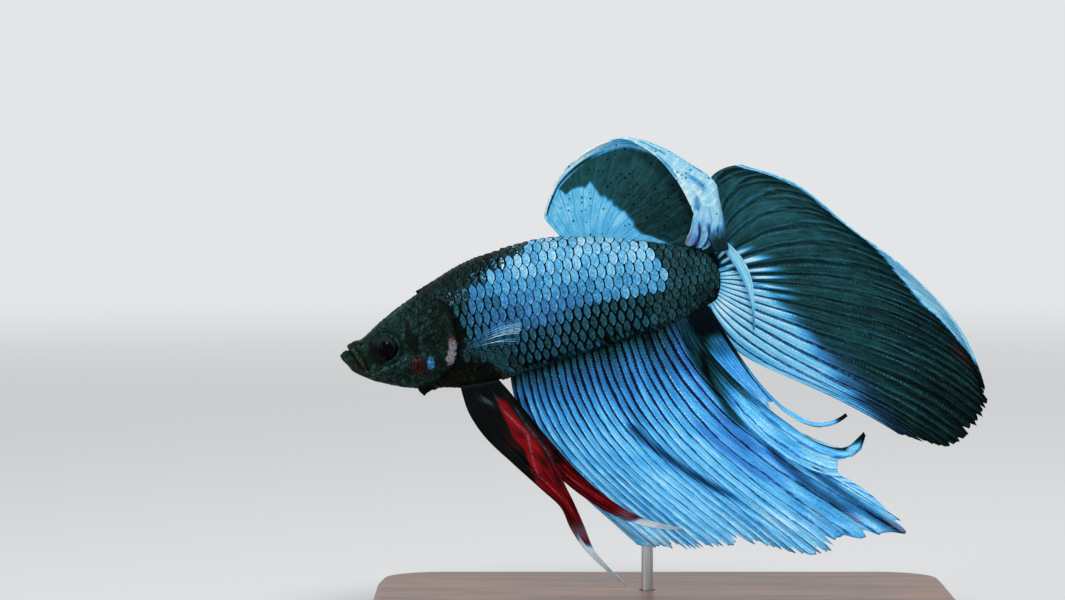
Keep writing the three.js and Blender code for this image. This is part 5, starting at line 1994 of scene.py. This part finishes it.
# ---- the stage
@dataclass(frozen=True)
class Lamp:
    """A soft square lamp aimed at the fish."""

    name: str
    place: tuple[float, float, float]
    watts: float
    size: float

    def build(self, aim: Vector) -> None:
        """Adds the lamp.

        Args:
            aim: What it points at.
        """
        data = bpy.data.lights.new(self.name, "AREA")
        data.energy, data.size = self.watts, self.size
        obj = bpy.data.objects.new(self.name, data)
        obj.location = self.place
        obj.rotation_euler = (aim - Vector(self.place)).to_track_quat("-Z", "Y").to_euler()
        bpy.context.scene.collection.objects.link(obj)


LAMPS = (
    Lamp("key lamp", (0.05, -0.42, 0.46), 1.75, 0.16),
    Lamp("side lamp", (-0.42, -0.34, 0.2), 0.75, 0.4),
    Lamp("back lamp", (0.12, 0.2, 0.5), 1, 0.3),
)

PALE = (0.77, 0.785, 0.8, 1)
ROOM_LIGHT = 0.32
FLOOR_REACH, FLOOR_CORNERS = 6, 64
SENSOR = 36


def seen_share(g: Graph) -> Wire:
    """Tells the rays that see a surface from those that only light things.

    Args:
        g: The graph to add to.

    Returns:
        1 for what is looked at, mirrored or looked through, and 0 otherwise.
    """
    path = g.add("ShaderNodeLightPath").outputs
    looked, mirrored, through = (Wire(g, path[f"Is {kind} Ray"]) for kind in ("Camera", "Glossy", "Transmission"))
    return g.math("MAXIMUM", g.math("MAXIMUM", looked, mirrored), through)


def build_stage() -> None:
    """Makes the pale floor, which runs out into an equally pale room, and the
    room light.

    The floor is a flat round disc. Near the model it takes the lamps' light
    and shadows, and further out it goes over to the room's own pale tone.
    """
    turn = np.arange(FLOOR_CORNERS) / FLOOR_CORNERS * TURN
    points = np.stack([FLOOR_REACH * np.cos(turn), FLOOR_REACH * np.sin(turn), 0 * turn], -1)
    mesh = bpy.data.meshes.new("floor")
    mesh.from_pydata(points.tolist(), [], [list(range(FLOOR_CORNERS))])
    floor = bpy.data.objects.new("floor", mesh)
    bpy.context.scene.collection.objects.link(floor)
    g = Look("pale floor", PALE_FLOOR)
    g.shader.inputs["Base Color"].default_value = (0.84, 0.85, 0.86, 1)
    away = g.read("Value", "ShaderNodeVectorMath", {"operation": "LENGTH"}, i0=g.place())
    share = seen_share(g) * away.rise(0.12, 0.75)
    far = g.read(0, "ShaderNodeEmission", Color=PALE, Strength=1)
    both = g.read(0, "ShaderNodeMixShader", i0=share, i1=Wire(g, g.shader.outputs[0]), i2=far)
    g.link(both, next(n for n in g.tree.nodes if n.type == "OUTPUT_MATERIAL"), "Surface")
    mesh.materials.append(g.material)
    world = bpy.context.scene.world or bpy.data.worlds.new("room")
    bpy.context.scene.world = world
    world.use_nodes = True
    g = Graph(world.node_tree)
    back = next(n for n in world.node_tree.nodes if n.type == "BACKGROUND")
    back.inputs["Color"].default_value = PALE
    g.link(seen_share(g) * (1 - ROOM_LIGHT) + ROOM_LIGHT, back, "Strength")
    aim = Vector((-0.01, 0, 0.04))
    for lamp in LAMPS:
        lamp.build(aim)


@dataclass(frozen=True)
class View:
    """The camera: a long lens a little above the fish, looking along +Y."""

    centre: tuple[float, float, float] = (-0.01451, 0.0, 0.03722)
    width: float = 0.11715
    distance: float = 0.45
    above: float = math.radians(3.0)

    def build(self) -> None:
        """Adds the camera and makes it the scene's own."""
        data = bpy.data.cameras.new("camera")
        data.sensor_width = SENSOR
        data.lens = SENSOR * self.distance / self.width
        data.clip_start, data.clip_end = 0.01, 10
        obj = bpy.data.objects.new("camera", data)
        back = Vector((0, -math.cos(self.above), math.sin(self.above)))
        obj.location = Vector(self.centre) + back * self.distance
        obj.rotation_euler = (-back).to_track_quat("-Z", "Y").to_euler()
        bpy.context.scene.collection.objects.link(obj)
        bpy.context.scene.camera = obj


def paint_stand(studio: Studio) -> None:
    """Gives the stand's own meshes their wood and steel.

    Args:
        studio: Where materials come from.
    """
    for node, slot, material in (("stand_base", "stand_wood", studio.wood_material()),
                                 ("stand_rod", "stand_steel", studio.steel_material())):
        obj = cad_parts[node]
        obj.data.materials.clear()
        obj.data.materials.append(material)


def write_sizes() -> None:
    """Brings the scene up to date."""
    bpy.context.view_layer.update()


def main() -> None:
    """Builds every piece of the scene."""
    bpy.context.scene.view_settings.view_transform = "Standard"
    studio = Studio()
    flank = Flank()
    BodySkin().build(studio)
    for side in Side:
        ScaleCoat(side).build(flank, studio)
        Eye(side).build(studio)
    for fin in FINS:
        fin.build(studio)
    paint_stand(studio)
    build_stage()
    View().build()
    write_sizes()


if __name__ == "__main__":
    main()
